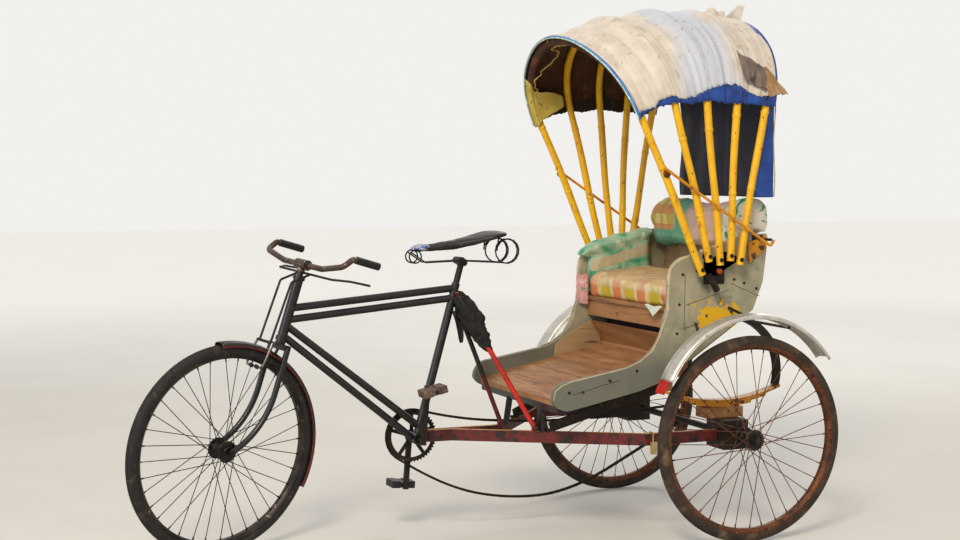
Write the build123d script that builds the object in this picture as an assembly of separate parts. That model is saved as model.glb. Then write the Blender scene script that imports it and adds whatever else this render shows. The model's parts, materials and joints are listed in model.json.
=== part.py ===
from build123d import *
import math
import os

# A three-wheeled pedal rickshaw. All sizes are in millimetres.
# The front faces -Y, the vehicle's left side is +X and the ground is z = 0.
# Lengthwise places are first measured from the rear axle, and the finished set is
# moved at the end so that the origin lies on the ground under its middle.

# Wheels, 28 inch with 40 mm tyres
WHEEL_R = 355.5
TYRE_R = 19.0
RIM_OUT_R = WHEEL_R - 33.5
RIM_IN_R = RIM_OUT_R - 14.0
RIM_WIDTH = 34.0
SPOKES = 36
SPOKE_R = 1.5
TRACK = 1020.0
AXLE_R = 12.0
RUNNING_FIT = 0.05
HUB_R = 17.0
HUB_FLANGE_R = 36.0

# Steering: the axis leans back, and the wheel stands turned to the left
HEAD_TILT = 17.0
HEAD_MID = Vector(0, -1476, 2 * WHEEL_R + 106)
HEAD_UP = 108.0
HEAD_DOWN = 117.0
FORK_RAKE = 106.0
STEER_REST = 20.0
FORK_HALF = 50.0
BLADE_R = 10.0
HEAD_R = 17.0
FRONT_GUARD_R = WHEEL_R + 9.5
FRONT_GUARD_FROM, FRONT_GUARD_TO = -28.0, 94.0
FRONT_HUB_HALF = 39.0
FRONT_AXLE_R = 4.5

# Frame tubes in the middle plane, as (y, z)
TOP_TUBE_R = 12.7
DOWN_TUBE_R = 12.7
SEAT_TUBE_R = 14.3
BRACKET = Vector(0, -1029, 345)
BRACKET_R = 21.0
BRACKET_HALF = 34.0
SEAT_CLUSTER = Vector(0, -889, 850)
SEAT_CLAMP_Z = 954.0

# Cranks and chain on the right side
CHAINLINE = -50.0
RING_R = 93.0
RING_TEETH = 46
RING_HALF = 1.5
CRANK = 180.0
CRANK_LEAN = 4.5
SPROCKET_R = 40.5
SPROCKET_TEETH = 20
TOOTH = 5.0
CHAIN_HALF = 4.5

# Rails of the rear chassis
RAIL_TOP = 371.0
RAIL_SIZE = 40.0
RAIL_FLANGE = 20.0
RAIL_WALL = 5.0

# Passenger body
BODY_HALF = 340.0
RAIL_X = BODY_HALF + 30.0
PANEL_WALL = 24.0
FLOOR_WALL = 18.0
FLOOR_FRONT = Vector(0, -651, 496)
FLOOR_BACK = Vector(0, -147, 614)
SEAT_FRONT_Y = -205.0
SEAT_Z = 797.0

# Hood: five arches on one pivot, (name, lean, base, strap layer) from the front
HOOD_PIVOT = Vector(0, -62, 926)
ARCH_X = BODY_HALF + 72.0
ARCH_R = 14.0
ARCH_STEP = 34.0
ARCH_SHOULDER = 600.0
ARCH_TOP = 915.0
ARCH_CORNER = 260.0
ARCHES = [
    ("hood_arch_1", 24.0, 20.0, 2),
    ("hood_arch_2", 14.4, 45.0, 1),
    ("hood_arch_3", 5.8, 22.0, 0),
    ("hood_arch_4", -2.3, 37.0, -1),
    ("hood_arch_5", -10.1, 34.0, -2),
]
CANVAS = 6.0
CANVAS_HEM = [602, 610, 630, 645, 645, 640, 630]

parts = {}


def put(name, *solids):
    """Store one node made of one or more solids that don't touch."""
    parts[name] = solids[0] if len(solids) == 1 else Compound(children=list(solids))


def fuse(solids):
    """Join solids into one."""
    solids = list(solids)
    return solids[0].fuse(*solids[1:]) if len(solids) > 1 else solids[0]


def largest(shape):
    """The largest solid left by a cut."""
    return max(shape.solids(), key=lambda piece: piece.volume)


def rod(start, end, radius):
    """A round bar between two points."""
    start, end = Vector(start), Vector(end)
    along = end - start
    place = Plane(origin=start, z_dir=along)
    return place * Cylinder(radius, along.length, align=(Align.CENTER, Align.CENTER, Align.MIN))


def block(x_range, y_range, z_range):
    """A box given by its low and high limits on each axis."""
    middle = [(low + high) / 2 for low, high in (x_range, y_range, z_range)]
    size = [high - low for low, high in (x_range, y_range, z_range)]
    return Pos(*middle) * Box(*size)


def bar(start, end, width, height):
    """A rectangular bar between two points, with its height upright."""
    start, end = Vector(start), Vector(end)
    along = end - start
    side = along.cross(Vector(0, 0, 1))
    if side.length < 1e-6:
        side = Vector(1, 0, 0)
    place = Plane(origin=start, x_dir=side, z_dir=along)
    return place * Box(width, height, along.length, align=(Align.CENTER, Align.CENTER, Align.MIN))


def slab(points, x_low, x_high):
    """A (y, z) outline of straight lines, pulled along X."""
    outline = Polyline(*points, close=True)
    face = Plane.YZ * make_face(outline)
    return Pos(x_low, 0, 0) * extrude(face, x_high - x_low)


def bent_rod(points, bend, radius):
    """A round bar along straight legs with rounded corners."""
    path = FilletPolyline(*points, radius=bend)
    start = Plane(origin=path @ 0, z_dir=path % 0)
    return sweep(start * Circle(radius), path=path)


def disc(middle, radius, half):
    """A flat round plate that faces X."""
    return Pos(middle) * (Plane.YZ * Cylinder(radius, 2 * half))


def toothed(middle, radius, teeth):
    """A flat toothed plate that faces X, its tooth tips on the radius."""
    outline = []
    for number in range(teeth):
        for share, reach in ((0.0, radius - TOOTH), (0.3, radius), (0.5, radius), (0.8, radius - TOOTH)):
            angle = 2 * math.pi * (number + share) / teeth
            outline.append((reach * math.cos(angle), reach * math.sin(angle)))
    plate = extrude(make_face(Polyline(*outline, close=True)), 2 * RING_HALF)
    return Pos(middle) * Pos(-RING_HALF, 0, 0) * (Plane.YZ * plate)


def both_sides(solid):
    """A solid on the left and its mirror image on the right."""
    return [solid, mirror(solid, about=Plane.YZ)]


# Steering axis
tilt = math.radians(HEAD_TILT)
AXIS_UP = Vector(0, math.sin(tilt), math.cos(tilt))
AXIS_FORE = Vector(0, -math.cos(tilt), math.sin(tilt))
STEER_AXIS = Axis(HEAD_MID, AXIS_UP)
turn = math.radians(STEER_REST)
wheel_lean = math.sin(tilt) * math.sin(turn)
hub_z = (WHEEL_R - TYRE_R) * math.sqrt(1 - wheel_lean**2) + TYRE_R
hub_drop = HEAD_MID.Z - hub_z + FORK_RAKE * math.sin(tilt) * math.cos(turn)
HUB_DOWN = hub_drop / math.cos(tilt)
FRONT_HUB = HEAD_MID - AXIS_UP * HUB_DOWN + AXIS_FORE * FORK_RAKE


def steered(solid):
    """Turn a solid made for straight ahead to the resting steering angle."""
    return solid.rotate(STEER_AXIS, STEER_REST)


def on_axis(z):
    """The point of the steering axis at a height."""
    return HEAD_MID + AXIS_UP * ((z - HEAD_MID.Z) / math.cos(tilt))


# Wheels
def tyre(middle):
    """A tyre with an eight-sided section round an X axle."""
    flat = TYRE_R * math.tan(math.radians(22.5))
    crown = WHEEL_R
    mid = WHEEL_R - TYRE_R
    section = [
        (-flat, crown),
        (flat, crown),
        (TYRE_R, mid + flat),
        (TYRE_R, mid - flat),
        (RIM_WIDTH / 2 - 2, RIM_OUT_R),
        (-RIM_WIDTH / 2 + 2, RIM_OUT_R),
        (-TYRE_R, mid - flat),
        (-TYRE_R, mid + flat),
    ]
    face = make_face(Polyline(*section, close=True))
    return Pos(middle) * revolve(face, Axis.X, 360)


def wire_wheel(middle, flange_half, barrel_half):
    """Rim, spokes and hub as one piece round an X axle."""
    half = RIM_WIDTH / 2
    rim_section = [(-half, RIM_OUT_R), (half, RIM_OUT_R), (half - 8, RIM_IN_R), (8 - half, RIM_IN_R)]
    rim = revolve(make_face(Polyline(*rim_section, close=True)), Axis.X, 360)
    hub = fuse(
        [
            disc((0, 0, 0), HUB_R, barrel_half),
            disc((flange_half, 0, 0), HUB_FLANGE_R, 2.5),
            disc((-flange_half, 0, 0), HUB_FLANGE_R, 2.5),
        ]
    )
    spokes = []
    for number in range(SPOKES):
        side = 1 if number % 2 else -1
        lead = 55 if (number // 2) % 2 else -55
        at_rim = math.radians(360 / SPOKES * number)
        at_hub = at_rim + math.radians(lead)
        hole_r = HUB_FLANGE_R - 5
        inner = (side * flange_half, hole_r * math.cos(at_hub), hole_r * math.sin(at_hub))
        outer = (side * 3, (RIM_IN_R + 4) * math.cos(at_rim), (RIM_IN_R + 4) * math.sin(at_rim))
        spokes.append(rod(inner, outer, SPOKE_R))
    return Pos(middle) * fuse([rim, hub] + spokes)


FRONT_MIDDLE = (FRONT_HUB.X, FRONT_HUB.Y, FRONT_HUB.Z)
put("tyre_front", steered(tyre(FRONT_MIDDLE)))
front_wheel = wire_wheel(FRONT_MIDDLE, 30, FRONT_HUB_HALF)
front_bore = disc(FRONT_MIDDLE, FRONT_AXLE_R + RUNNING_FIT, 200)
put("wheel_front", steered(front_wheel - front_bore))

REAR_HUB_HALF = 42.0
for side, label in ((1, "left"), (-1, "right")):
    middle = (side * TRACK / 2, 0, WHEEL_R)
    put(f"tyre_rear_{label}", tyre(middle))
    bore = disc(middle, AXLE_R if side > 0 else AXLE_R + RUNNING_FIT, 200)
    put(f"wheel_rear_{label}", wire_wheel(middle, 32, REAR_HUB_HALF) - bore)

# The axle turns in the bearings, with the sprocket and the left wheel fixed on it
AXLE_HALF = TRACK / 2 + REAR_HUB_HALF + 14
sprocket_middle = (CHAINLINE, 0, WHEEL_R)
sprocket = toothed(sprocket_middle, SPROCKET_R, SPROCKET_TEETH) + disc(sprocket_middle, 24, 8)
put("rear_axle", disc((0, 0, WHEEL_R), AXLE_R, AXLE_HALF) + sprocket)

# Fork: crown, two blades curving forward to the front axle
CROWN_Z = HEAD_MID.Z - 132
CROWN_WIDTH, CROWN_HEIGHT = 24.0, 20.0
STEERER_R = 11.0
crown_top = on_axis(CROWN_Z)
crown_drop = (HEAD_MID - crown_top).length
blade_straight = 150.0
blade_run = HUB_DOWN - crown_drop - blade_straight
half_bend = math.atan(FORK_RAKE / blade_run)
blade_bend_r = blade_run / math.sin(2 * half_bend)
fork_side = Plane(origin=crown_top, x_dir=AXIS_FORE, z_dir=(-1, 0, 0))


def in_fork(fore, down):
    """A point of the fork's middle plane from its distance ahead of and below the crown."""
    return crown_top + AXIS_FORE * fore - AXIS_UP * down


blades = []
for side in (1, -1):
    shift = Vector(side * FORK_HALF, 0, 0)
    knee = in_fork(0, blade_straight) + shift
    mid_fore = blade_bend_r * (1 - math.cos(half_bend))
    mid_down = blade_straight + blade_bend_r * math.sin(half_bend)
    toe_down = HUB_DOWN - crown_drop
    line = Line(in_fork(0, 0) + shift, knee)
    curve = ThreePointArc(knee, in_fork(mid_fore, mid_down) + shift, in_fork(FORK_RAKE, toe_down) + shift)
    path = Wire([line, curve])
    blades.append(sweep(Plane(origin=path @ 0, z_dir=path % 0) * Circle(BLADE_R), path=path))
crown_plane = Plane(origin=crown_top, x_dir=(1, 0, 0), z_dir=AXIS_UP)
crown = crown_plane * Box(2 * FORK_HALF, CROWN_WIDTH, CROWN_HEIGHT)
race = rod(crown_top, HEAD_MID - AXIS_UP * (HEAD_DOWN + RUNNING_FIT), HEAD_R)
steerer = rod(crown_top, HEAD_MID + AXIS_UP * (HEAD_UP + 14), STEERER_R)
axle_end = Vector(FORK_HALF + 18, 0, 0)
front_axle = rod(FRONT_HUB - axle_end, FRONT_HUB + axle_end, FRONT_AXLE_R)
to_hub = (FRONT_HUB - crown_top).normalized()
guard_bolt = rod(crown_top, FRONT_HUB - to_hub * (FRONT_GUARD_R + 0.2), 5)
put("fork", steered(fuse([crown, race, steerer, front_axle, guard_bolt] + blades)))

# Stem, handlebar and grips
CLAMP = on_axis(HEAD_MID.Z + 141)
stem_foot = HEAD_MID + AXIS_UP * (HEAD_UP + 15)
stem = fuse([rod(stem_foot, CLAMP, 13), rod(CLAMP - Vector(30, 0, 0), CLAMP + Vector(30, 0, 0), 18)])
BAR_POINTS = [(110, 0, 0), (218, 5, 22), (221, 44, 46), (219, 145, 17)]
BAR_R = 10.0
GRIP_R = 13.0
GRIP_LONG = 92.0
half_bar = [CLAMP + Vector(*point) for point in BAR_POINTS]
other_half = [Vector(-p.X, p.Y, p.Z) for p in reversed(half_bar)]
bar_line = bent_rod(other_half + half_bar, 20, BAR_R)
put("handlebar", steered(fuse([stem, bar_line])))
bar_end = half_bar[-1]
grip_dir = (bar_end - half_bar[-2]).normalized()
grip_front = bar_end - grip_dir * GRIP_LONG
grip = rod(bar_end + grip_dir * 6, grip_front, GRIP_R) - rod(bar_end, grip_front - grip_dir, BAR_R)
put("grips", *[steered(solid) for solid in both_sides(grip)])

# Brake levers under the bar, with the rods to the stirrup over the front tyre
LEVER_R = 4.0
LEVER_POINTS = [(0, 10, -30), (150, 10, -30), (190, 60, -34), (205, 130, -50)]
half_lever = [CLAMP + Vector(*point) for point in LEVER_POINTS]
lever = bent_rod(half_lever, 18, LEVER_R)
lever_right = mirror(lever, about=Plane.YZ)
STIRRUP_Z = HEAD_MID.Z - 127
PULL_X = 32.0
PULL_AHEAD = 62.0
PULL_TOP_AHEAD = 66.0
pull_foot = on_axis(STIRRUP_Z) + AXIS_FORE * PULL_AHEAD + Vector(PULL_X, 0, 0)
pull_head = half_lever[0] + Vector(PULL_X, 0, 0)
pull_bend = CLAMP + Vector(PULL_X, -PULL_TOP_AHEAD, -52)
pull = bent_rod([pull_head, pull_bend, pull_foot], 12, LEVER_R)
cross_pull = rod(pull_foot - Vector(2 * PULL_X + 12, 0, 0), pull_foot + Vector(12, 0, 0), 5)
linkage = [lever, lever_right, pull, mirror(pull, about=Plane.YZ), cross_pull]
put("brake_linkage", steered(fuse(linkage)))

# Mudguards
GUARD_WALL = 2.0


def guard(middle, radius, half_width, start, end):
    """A mudguard: a strip with turned-down edges, from one angle to another above +Y."""
    lip = 16.0
    section = [
        (-half_width, radius - lip),
        (-half_width * 0.72, radius),
        (half_width * 0.72, radius),
        (half_width, radius - lip),
        (half_width - GUARD_WALL, radius - lip),
        (half_width * 0.72 - GUARD_WALL, radius - GUARD_WALL),
        (-half_width * 0.72 + GUARD_WALL, radius - GUARD_WALL),
        (-half_width + GUARD_WALL, radius - lip),
    ]
    face = make_face(Polyline(*section, close=True))
    strip = revolve(face, Axis.X, end - start)
    return Pos(middle) * Rot(start, 0, 0) * strip


put("mudguard_front", steered(guard(FRONT_MIDDLE, FRONT_GUARD_R, TYRE_R + 7, FRONT_GUARD_FROM, FRONT_GUARD_TO)))

# Head tube, top tubes and down tubes
head_low = HEAD_MID - AXIS_UP * HEAD_DOWN
head_high = HEAD_MID + AXIS_UP * HEAD_UP
head = rod(head_low, head_high, HEAD_R)
cups = [rod(head_low, head_low + AXIS_UP * 14, 21), rod(head_high - AXIS_UP * 14, head_high, 21)]
head_bore = rod(head_low - AXIS_UP * 5, head_high + AXIS_UP * 5, 13)
head_solid = fuse([head] + cups)
put("head_tube", head_solid - head_bore)

seat_line = SEAT_CLUSTER - BRACKET
seat_dir = seat_line.normalized()
POST_R = 11.0
seat_tube = rod(BRACKET + seat_dir * 2, SEAT_CLUSTER + seat_dir * 32, SEAT_TUBE_R)
seat_bore = rod(SEAT_CLUSTER - seat_dir * 90, SEAT_CLUSTER + seat_dir * 40, POST_R)
shell = disc(BRACKET, BRACKET_R, BRACKET_HALF)
bracket_bore = disc(BRACKET, 12, 60)
seat_solid = fuse([seat_tube, shell])
put("seat_tube", seat_solid - seat_bore - bracket_bore)


def on_seat(z):
    """The point of the seat tube's axis at a height."""
    return BRACKET + seat_line * ((z - BRACKET.Z) / seat_line.Z)


FRAME_TUBES = [
    # (drop from the head's middle, height on the seat tube, radius)
    (5, 864, TOP_TUBE_R),
    (44, 829, TOP_TUBE_R),
    (60, 388, DOWN_TUBE_R),
    (95, 340, DOWN_TUBE_R),
]
race_room = rod(head_low - AXIS_UP * 30, head_low, HEAD_R + 2)
tubes = []
for drop, seat_z, radius in FRAME_TUBES:
    tube = rod(on_axis(HEAD_MID.Z - drop), on_seat(seat_z) - Vector(0, 6, 0), radius)
    tubes.append(largest(tube - head_solid - race_room - seat_solid))
put("frame_tubes", *tubes)

# Seat post, saddle and its sprung wire frame
SEAT_CLAMP = on_seat(SEAT_CLAMP_Z)
post = rod(SEAT_CLUSTER - seat_dir * 80, SEAT_CLAMP, POST_R)
post_head = rod(SEAT_CLAMP - Vector(26, 0, 0), SEAT_CLAMP + Vector(26, 0, 0), 13)
put("seat_post", fuse([post, post_head]))
SADDLE_SECTIONS = [
    # (y, z of the top, half width, depth)
    (-1026, 1017, 15, 20),
    (-965, 1023, 20, 25),
    (-888, 1033, 31, 30),
    (-822, 1046, 66, 22),
    (-775, 1058, 94, 17),
    (-742, 1064, 98, 12),
]
sections = []
for y, top, half_width, depth in SADDLE_SECTIONS:
    place = Plane(origin=(0, y, top - depth / 2), x_dir=(1, 0, 0), z_dir=(0, 1, 0))
    sections.append(place * RectangleRounded(2 * half_width, depth, depth * 0.35))
put("saddle", loft(sections, ruled=True))

WIRE_R = 4.5
RAIL_WIRE_X, RAIL_WIRE_Z = 19.0, 964.0
NOSE_COIL_Y, NOSE_COIL_R = -1034.0, 13.5
COIL_XS = (30.0, 42.0)
COIL_Y, COIL_Z, COIL_R = -710.0, 988.0, 34.0
wires = []
for side in (1, -1):
    x = side * RAIL_WIRE_X
    wires.append(rod((x, NOSE_COIL_Y, RAIL_WIRE_Z), (x, COIL_Y - 20, RAIL_WIRE_Z), WIRE_R))
    wires.append(Pos(x, NOSE_COIL_Y, RAIL_WIRE_Z + NOSE_COIL_R) * (Plane.YZ * Torus(NOSE_COIL_R, WIRE_R)))
    for coil_x in COIL_XS:
        wires.append(Pos(side * coil_x, COIL_Y, COIL_Z) * (Plane.YZ * Torus(COIL_R, WIRE_R)))
    wires.append(rod((x, COIL_Y - 20, RAIL_WIRE_Z), (side * COIL_XS[0], COIL_Y - 6, COIL_Z - COIL_R), WIRE_R))
    wires.append(rod((side * COIL_XS[1], COIL_Y - 17, COIL_Z + COIL_R - 5), (side * 70, -752, 1041), WIRE_R))
coil_tie = Vector(COIL_XS[1] + 4, 0, 0)
coil_back = Vector(0, COIL_Y + COIL_R, COIL_Z)
wires.append(rod(coil_back - coil_tie, coil_back + coil_tie, WIRE_R))
wires.append(rod((-RAIL_WIRE_X, NOSE_COIL_Y, RAIL_WIRE_Z), (RAIL_WIRE_X, NOSE_COIL_Y, RAIL_WIRE_Z), WIRE_R))
clip_middle = Vector(0, SEAT_CLAMP.Y, RAIL_WIRE_Z)
clip = rod(clip_middle - Vector(26, 0, 0), clip_middle + Vector(26, 0, 0), 9)
put("saddle_springs", fuse(wires + [clip]) - post_head - post)

# Crank set: axle, chainwheel with an open spider, two cranks
lean = math.radians(CRANK_LEAN)
CRANK_UP = Vector(0, math.sin(lean), math.cos(lean))
PEDAL_LEFT = BRACKET + CRANK_UP * CRANK
PEDAL_RIGHT = BRACKET - CRANK_UP * CRANK
CRANK_X = 72.0
CRANK_HALF = 7.0
ring_middle = Vector(CHAINLINE, BRACKET.Y, BRACKET.Z)
ring = toothed(ring_middle, RING_R, RING_TEETH) - disc(ring_middle, RING_R - 18, 5)
ring_hub = disc(ring_middle, 24, 3)
arms = []
for number in range(5):
    angle = math.radians(72 * number + 18)
    tip = ring_middle + Vector(0, math.cos(angle), math.sin(angle)) * (RING_R - 14)
    arms.append(bar(ring_middle + Vector(0, 0.01, 0), tip, 3, 13))
crank_axle = disc(BRACKET, 9, CRANK_X + CRANK_HALF)
CRANK_WIDTH = 18.0
PEDAL_PIN_R, PEDAL_PIN = 6.0, 100.0
crank_arms = []
pedal_pins = []
for side, pedal_at in ((1, PEDAL_LEFT), (-1, PEDAL_RIGHT)):
    out = Vector(side * CRANK_X, 0, 0)
    root = BRACKET + out - CRANK_UP * (side * 14)
    crank_arms.append(bar(root, pedal_at + out + CRANK_UP * (side * 12), 2 * CRANK_HALF, CRANK_WIDTH))
    pedal_pins.append(rod(pedal_at + out, pedal_at + out + Vector(side * PEDAL_PIN, 0, 0), PEDAL_PIN_R))
put("crank_set", fuse([ring, ring_hub, crank_axle] + arms + crank_arms + pedal_pins))

# Pedals: two rubber blocks on a bored frame
for side, middle, label, pedal_tilt in ((1, PEDAL_LEFT, "left", 14), (-1, PEDAL_RIGHT, "right", -4)):
    near = side * (CRANK_X + 13)
    far = side * (CRANK_X + PEDAL_PIN - 3)
    low, high = min(near, far), max(near, far)
    core = block((low, high), (middle.Y - 14, middle.Y + 14), (middle.Z - 9, middle.Z + 9))
    blocks = [
        block((low + 6, high - 6), (middle.Y + y - 15, middle.Y + y + 15), (middle.Z - 12, middle.Z + 12))
        for y in (-27, 27)
    ]
    ends = [
        block((x - 2, x + 2), (middle.Y - 40, middle.Y + 40), (middle.Z - 8, middle.Z + 8))
        for x in (low + 4, high - 4)
    ]
    pin_end = Vector(side * (CRANK_X + 2 * PEDAL_PIN), 0, 0)
    pin_hole = rod(middle, middle + pin_end, PEDAL_PIN_R + 0.5)
    pedal = fuse([core] + blocks + ends) - pin_hole
    put(f"pedal_{label}", pedal.rotate(Axis(middle, (1, 0, 0)), pedal_tilt))

# Chain: one slack loop, (y, z) of its upper and lower runs
UPPER_RUN = [(-900, 408), (-780, 388), (-690, 380), (-560, 370), (-420, 368), (-250, 381)]
LOWER_RUN = [(-160, 228), (-330, 142), (-486, 98), (-633, 98), (-773, 120), (-880, 156), (-981, 206)]


def tangent_point(center, radius, outside, upper):
    """Where a straight line from an outside point touches a circle."""
    dy, dz = outside[0] - center[0], outside[1] - center[1]
    reach = math.hypot(dy, dz)
    base = math.atan2(dz, dy)
    swing = math.acos(radius / reach)
    first = base + swing
    second = base - swing
    spots = [(center[0] + radius * math.cos(a), center[1] + radius * math.sin(a)) for a in (first, second)]
    return max(spots, key=lambda s: s[1]) if upper else min(spots, key=lambda s: s[1])


ring_spot = (BRACKET.Y, BRACKET.Z)
cog_spot = (0.0, WHEEL_R)


def chain_path(grow):
    """The chain's outline at a distance outside its pitch line, as a closed face."""
    ring_radius = RING_R + grow
    cog_radius = SPROCKET_R + grow
    upper = [(y, z + grow) for y, z in UPPER_RUN]
    lower = [(y, z - grow) for y, z in LOWER_RUN]
    a = tangent_point(ring_spot, ring_radius, upper[0], True)
    b = tangent_point(cog_spot, cog_radius, upper[-1], True)
    c = tangent_point(cog_spot, cog_radius, lower[0], False)
    d = tangent_point(ring_spot, ring_radius, lower[-1], False)
    top_line = Polyline(a, *upper, b)
    cog_arc = ThreePointArc(b, (cog_spot[0] + cog_radius, cog_spot[1]), c)
    low_line = Polyline(c, *lower, d)
    ring_arc = ThreePointArc(d, (ring_spot[0] - ring_radius, ring_spot[1]), a)
    edges = top_line.edges() + [cog_arc.edge()] + low_line.edges() + [ring_arc.edge()]
    return make_face(Wire(edges))


chain_band = extrude(chain_path(4) - chain_path(-4), 2 * CHAIN_HALF)
chain_loop = Pos(CHAINLINE - CHAIN_HALF, 0, 0) * (Plane.YZ * chain_band)
groove_ring = disc(ring_middle, RING_R + 1, RING_HALF + 1.5)
groove_cog = disc(sprocket_middle, SPROCKET_R + 1, RING_HALF + 1.5)
put("chain", chain_loop - groove_ring - groove_cog)

# Rear chassis rails of angle iron
FRONT_RAIL_Y = -985.0


def rail(points, outward):
    """Angle iron along plan points, its flange on top and its web on the outer side."""
    pieces = []
    for (x0, y0), (x1, y1) in zip(points, points[1:]):
        along = Vector(x1 - x0, y1 - y0, 0).normalized()
        start = Vector(x0, y0, 0) - along * 2
        end = Vector(x1, y1, 0) + along * 2
        inward = Vector(-along.Y, along.X, 0) * outward
        web_mid = inward * (RAIL_WALL / 2)
        web_z = Vector(0, 0, RAIL_TOP - RAIL_SIZE / 2)
        pieces.append(bar(start + web_mid + web_z, end + web_mid + web_z, RAIL_WALL, RAIL_SIZE))
        flange_mid = inward * (RAIL_FLANGE / 2)
        flange_z = Vector(0, 0, RAIL_TOP - RAIL_WALL / 2)
        pieces.append(bar(start + flange_mid + flange_z, end + flange_mid + flange_z, RAIL_FLANGE, RAIL_WALL))
    return fuse(pieces)


RAIL_REAR_Y = -50.0
LEFT_RAIL = [(16, FRONT_RAIL_Y), (16, -905), (RAIL_X, -325), (RAIL_X, RAIL_REAR_Y)]
RIGHT_RAIL = [(-26, FRONT_RAIL_Y), (-26, -700), (-RAIL_X, -424), (-RAIL_X, RAIL_REAR_Y)]
lug = block((-21, 11), (FRONT_RAIL_Y - 34, FRONT_RAIL_Y + 40), (RAIL_TOP - RAIL_SIZE, RAIL_TOP - RAIL_WALL))
left_rail = rail(LEFT_RAIL, 1)
right_rail = rail(RIGHT_RAIL, -1)
put("rail_left", fuse([left_rail, lug]) - seat_solid - right_rail)
put("rail_right", right_rail - lug)


def rail_x(y, line):
    """Outer face of a rail at a distance from the rear axle."""
    for (x0, y0), (x1, y1) in zip(line, line[1:]):
        if y0 <= y <= y1:
            return x0 + (x1 - x0) * (y - y0) / (y1 - y0)
    return line[-1][0]


# Struts from the seat cluster down to the rails, and a rag tied round them
STRUT_R = 8.0
STRUT_FOOT = 12.0
strut_top = on_seat(846)
LEFT_FOOT_Y, RIGHT_FOOT_Y = -651.0, -706.0
FOOT_HALF = 8.0
LEFT_FOOT = Vector(rail_x(LEFT_FOOT_Y, LEFT_RAIL) - 10, LEFT_FOOT_Y, RAIL_TOP + STRUT_FOOT)
RIGHT_FOOT = Vector(rail_x(RIGHT_FOOT_Y, RIGHT_RAIL) + 10, RIGHT_FOOT_Y, RAIL_TOP + STRUT_FOOT)
struts = []
for side, foot in ((1, LEFT_FOOT), (-1, RIGHT_FOOT)):
    top = strut_top + Vector(side * 24, 4, 0)
    pad = block((foot.X - 9, foot.X + 9), (foot.Y - FOOT_HALF, foot.Y + FOOT_HALF), (RAIL_TOP, foot.Z))
    struts.append(fuse([rod(top, foot, STRUT_R), pad]))
strut_bolt = rod(strut_top - Vector(40, -4, 0), strut_top + Vector(40, 4, 0), 5)
put("frame_struts", fuse(struts + [strut_bolt - seat_solid]))
strut_lead = (LEFT_FOOT + RIGHT_FOOT) * 0.5 - strut_top
rag_top = strut_top + strut_lead * 0.1
rag_low = strut_top + strut_lead * 0.42
rag = rod(rag_top, rag_low, 44)
put("rag_bundle", rag - fuse(struts) - seat_solid - strut_bolt)

# Posts and a cross bearer that hold the front of the floor
POST_Y = -632.0
BEARER_TOP = 478.0
BEARER = 24.0
post_top = BEARER_TOP - BEARER + 2
left_post_x = rail_x(POST_Y, LEFT_RAIL) - 12
posts = [
    bar((left_post_x, POST_Y, RAIL_TOP - 1), (left_post_x, POST_Y, post_top), 34, 14),
    bar((-14, -685, RAIL_TOP - 1), (-84, POST_Y - 8, post_top), 20, 14),
]
bearer = block((4 - BODY_HALF, BODY_HALF - 4), (POST_Y - 14, POST_Y + 14), (BEARER_TOP - BEARER, BEARER_TOP))
put("front_support", fuse([bearer] + posts) - parts["rail_left"] - parts["rail_right"])

# Side panels: one board each, an S-shaped top edge from the footboard to the seat
floor_slope = (FLOOR_BACK.Z - FLOOR_FRONT.Z) / (FLOOR_BACK.Y - FLOOR_FRONT.Y)


def floor_z(y):
    """Height of the floor's top face at a distance from the rear axle."""
    return FLOOR_FRONT.Z + (y - FLOOR_FRONT.Y) * floor_slope


PANEL_NOSE = (-674, 500)
panel_edges = [
    ThreePointArc(PANEL_NOSE, (-664, 535), (-607, 564)),
    Line((-607, 564), (-400, 601)),
    ThreePointArc((-400, 601), (-300, 655), (-252, 757)),
    Line((-252, 757), (-238, 800)),
    Line((-238, 800), (-236, 905)),
    ThreePointArc((-236, 905), (-212, 955), (-158, 978)),
    Line((-158, 978), (60, 1046)),
    Line((60, 1046), (151, 1052)),
    Line((151, 1052), (151, 1000)),
    Line((151, 1000), (137, 885)),
    Line((137, 885), (98, 786)),
    Line((98, 786), (-266, 546)),
    Line((-266, 546), (-351, 519)),
    Line((-351, 519), (-523, 483)),
    Line((-523, 483), (-600, 468)),
    ThreePointArc((-600, 468), (-650, 474), PANEL_NOSE),
]
panel_out = BODY_HALF + PANEL_WALL
panel_face = Plane.YZ * make_face(Wire([edge.edge() for edge in panel_edges]))
panel = Pos(BODY_HALF, 0, 0) * extrude(panel_face, PANEL_WALL)
for solid, label in zip(both_sides(panel), ("left", "right")):
    put(f"side_panel_{label}", solid)

# Floor of boards across, nailed on the cross bearer and two sills
BOARDS = 5
board_run = (FLOOR_BACK.Y - FLOOR_FRONT.Y) / BOARDS
boards = []
for number in range(BOARDS):
    y0 = FLOOR_FRONT.Y + board_run * number + (1.5 if number else 0)
    y1 = FLOOR_FRONT.Y + board_run * (number + 1) - 1.5
    z0, z1 = floor_z(y0), floor_z(y1)
    outline = [(y0, z0 - FLOOR_WALL), (y0, z0), (y1, z1), (y1, z1 - FLOOR_WALL)]
    boards.append(slab(outline, -BODY_HALF, BODY_HALF))
put("floor_boards", *boards)

SILL = 30.0
sill_front, sill_back = POST_Y + 14, FLOOR_BACK.Y
sill_outline = [
    (sill_front, floor_z(sill_front) - FLOOR_WALL),
    (sill_back, floor_z(sill_back) - FLOOR_WALL),
    (sill_back, floor_z(sill_back) - FLOOR_WALL - SILL),
    (sill_front + 60, floor_z(sill_front + 60) - FLOOR_WALL - SILL),
    (sill_front, floor_z(sill_front) - FLOOR_WALL - 8),
]
sill = slab(sill_outline, BODY_HALF - 40, BODY_HALF - 4)

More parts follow.
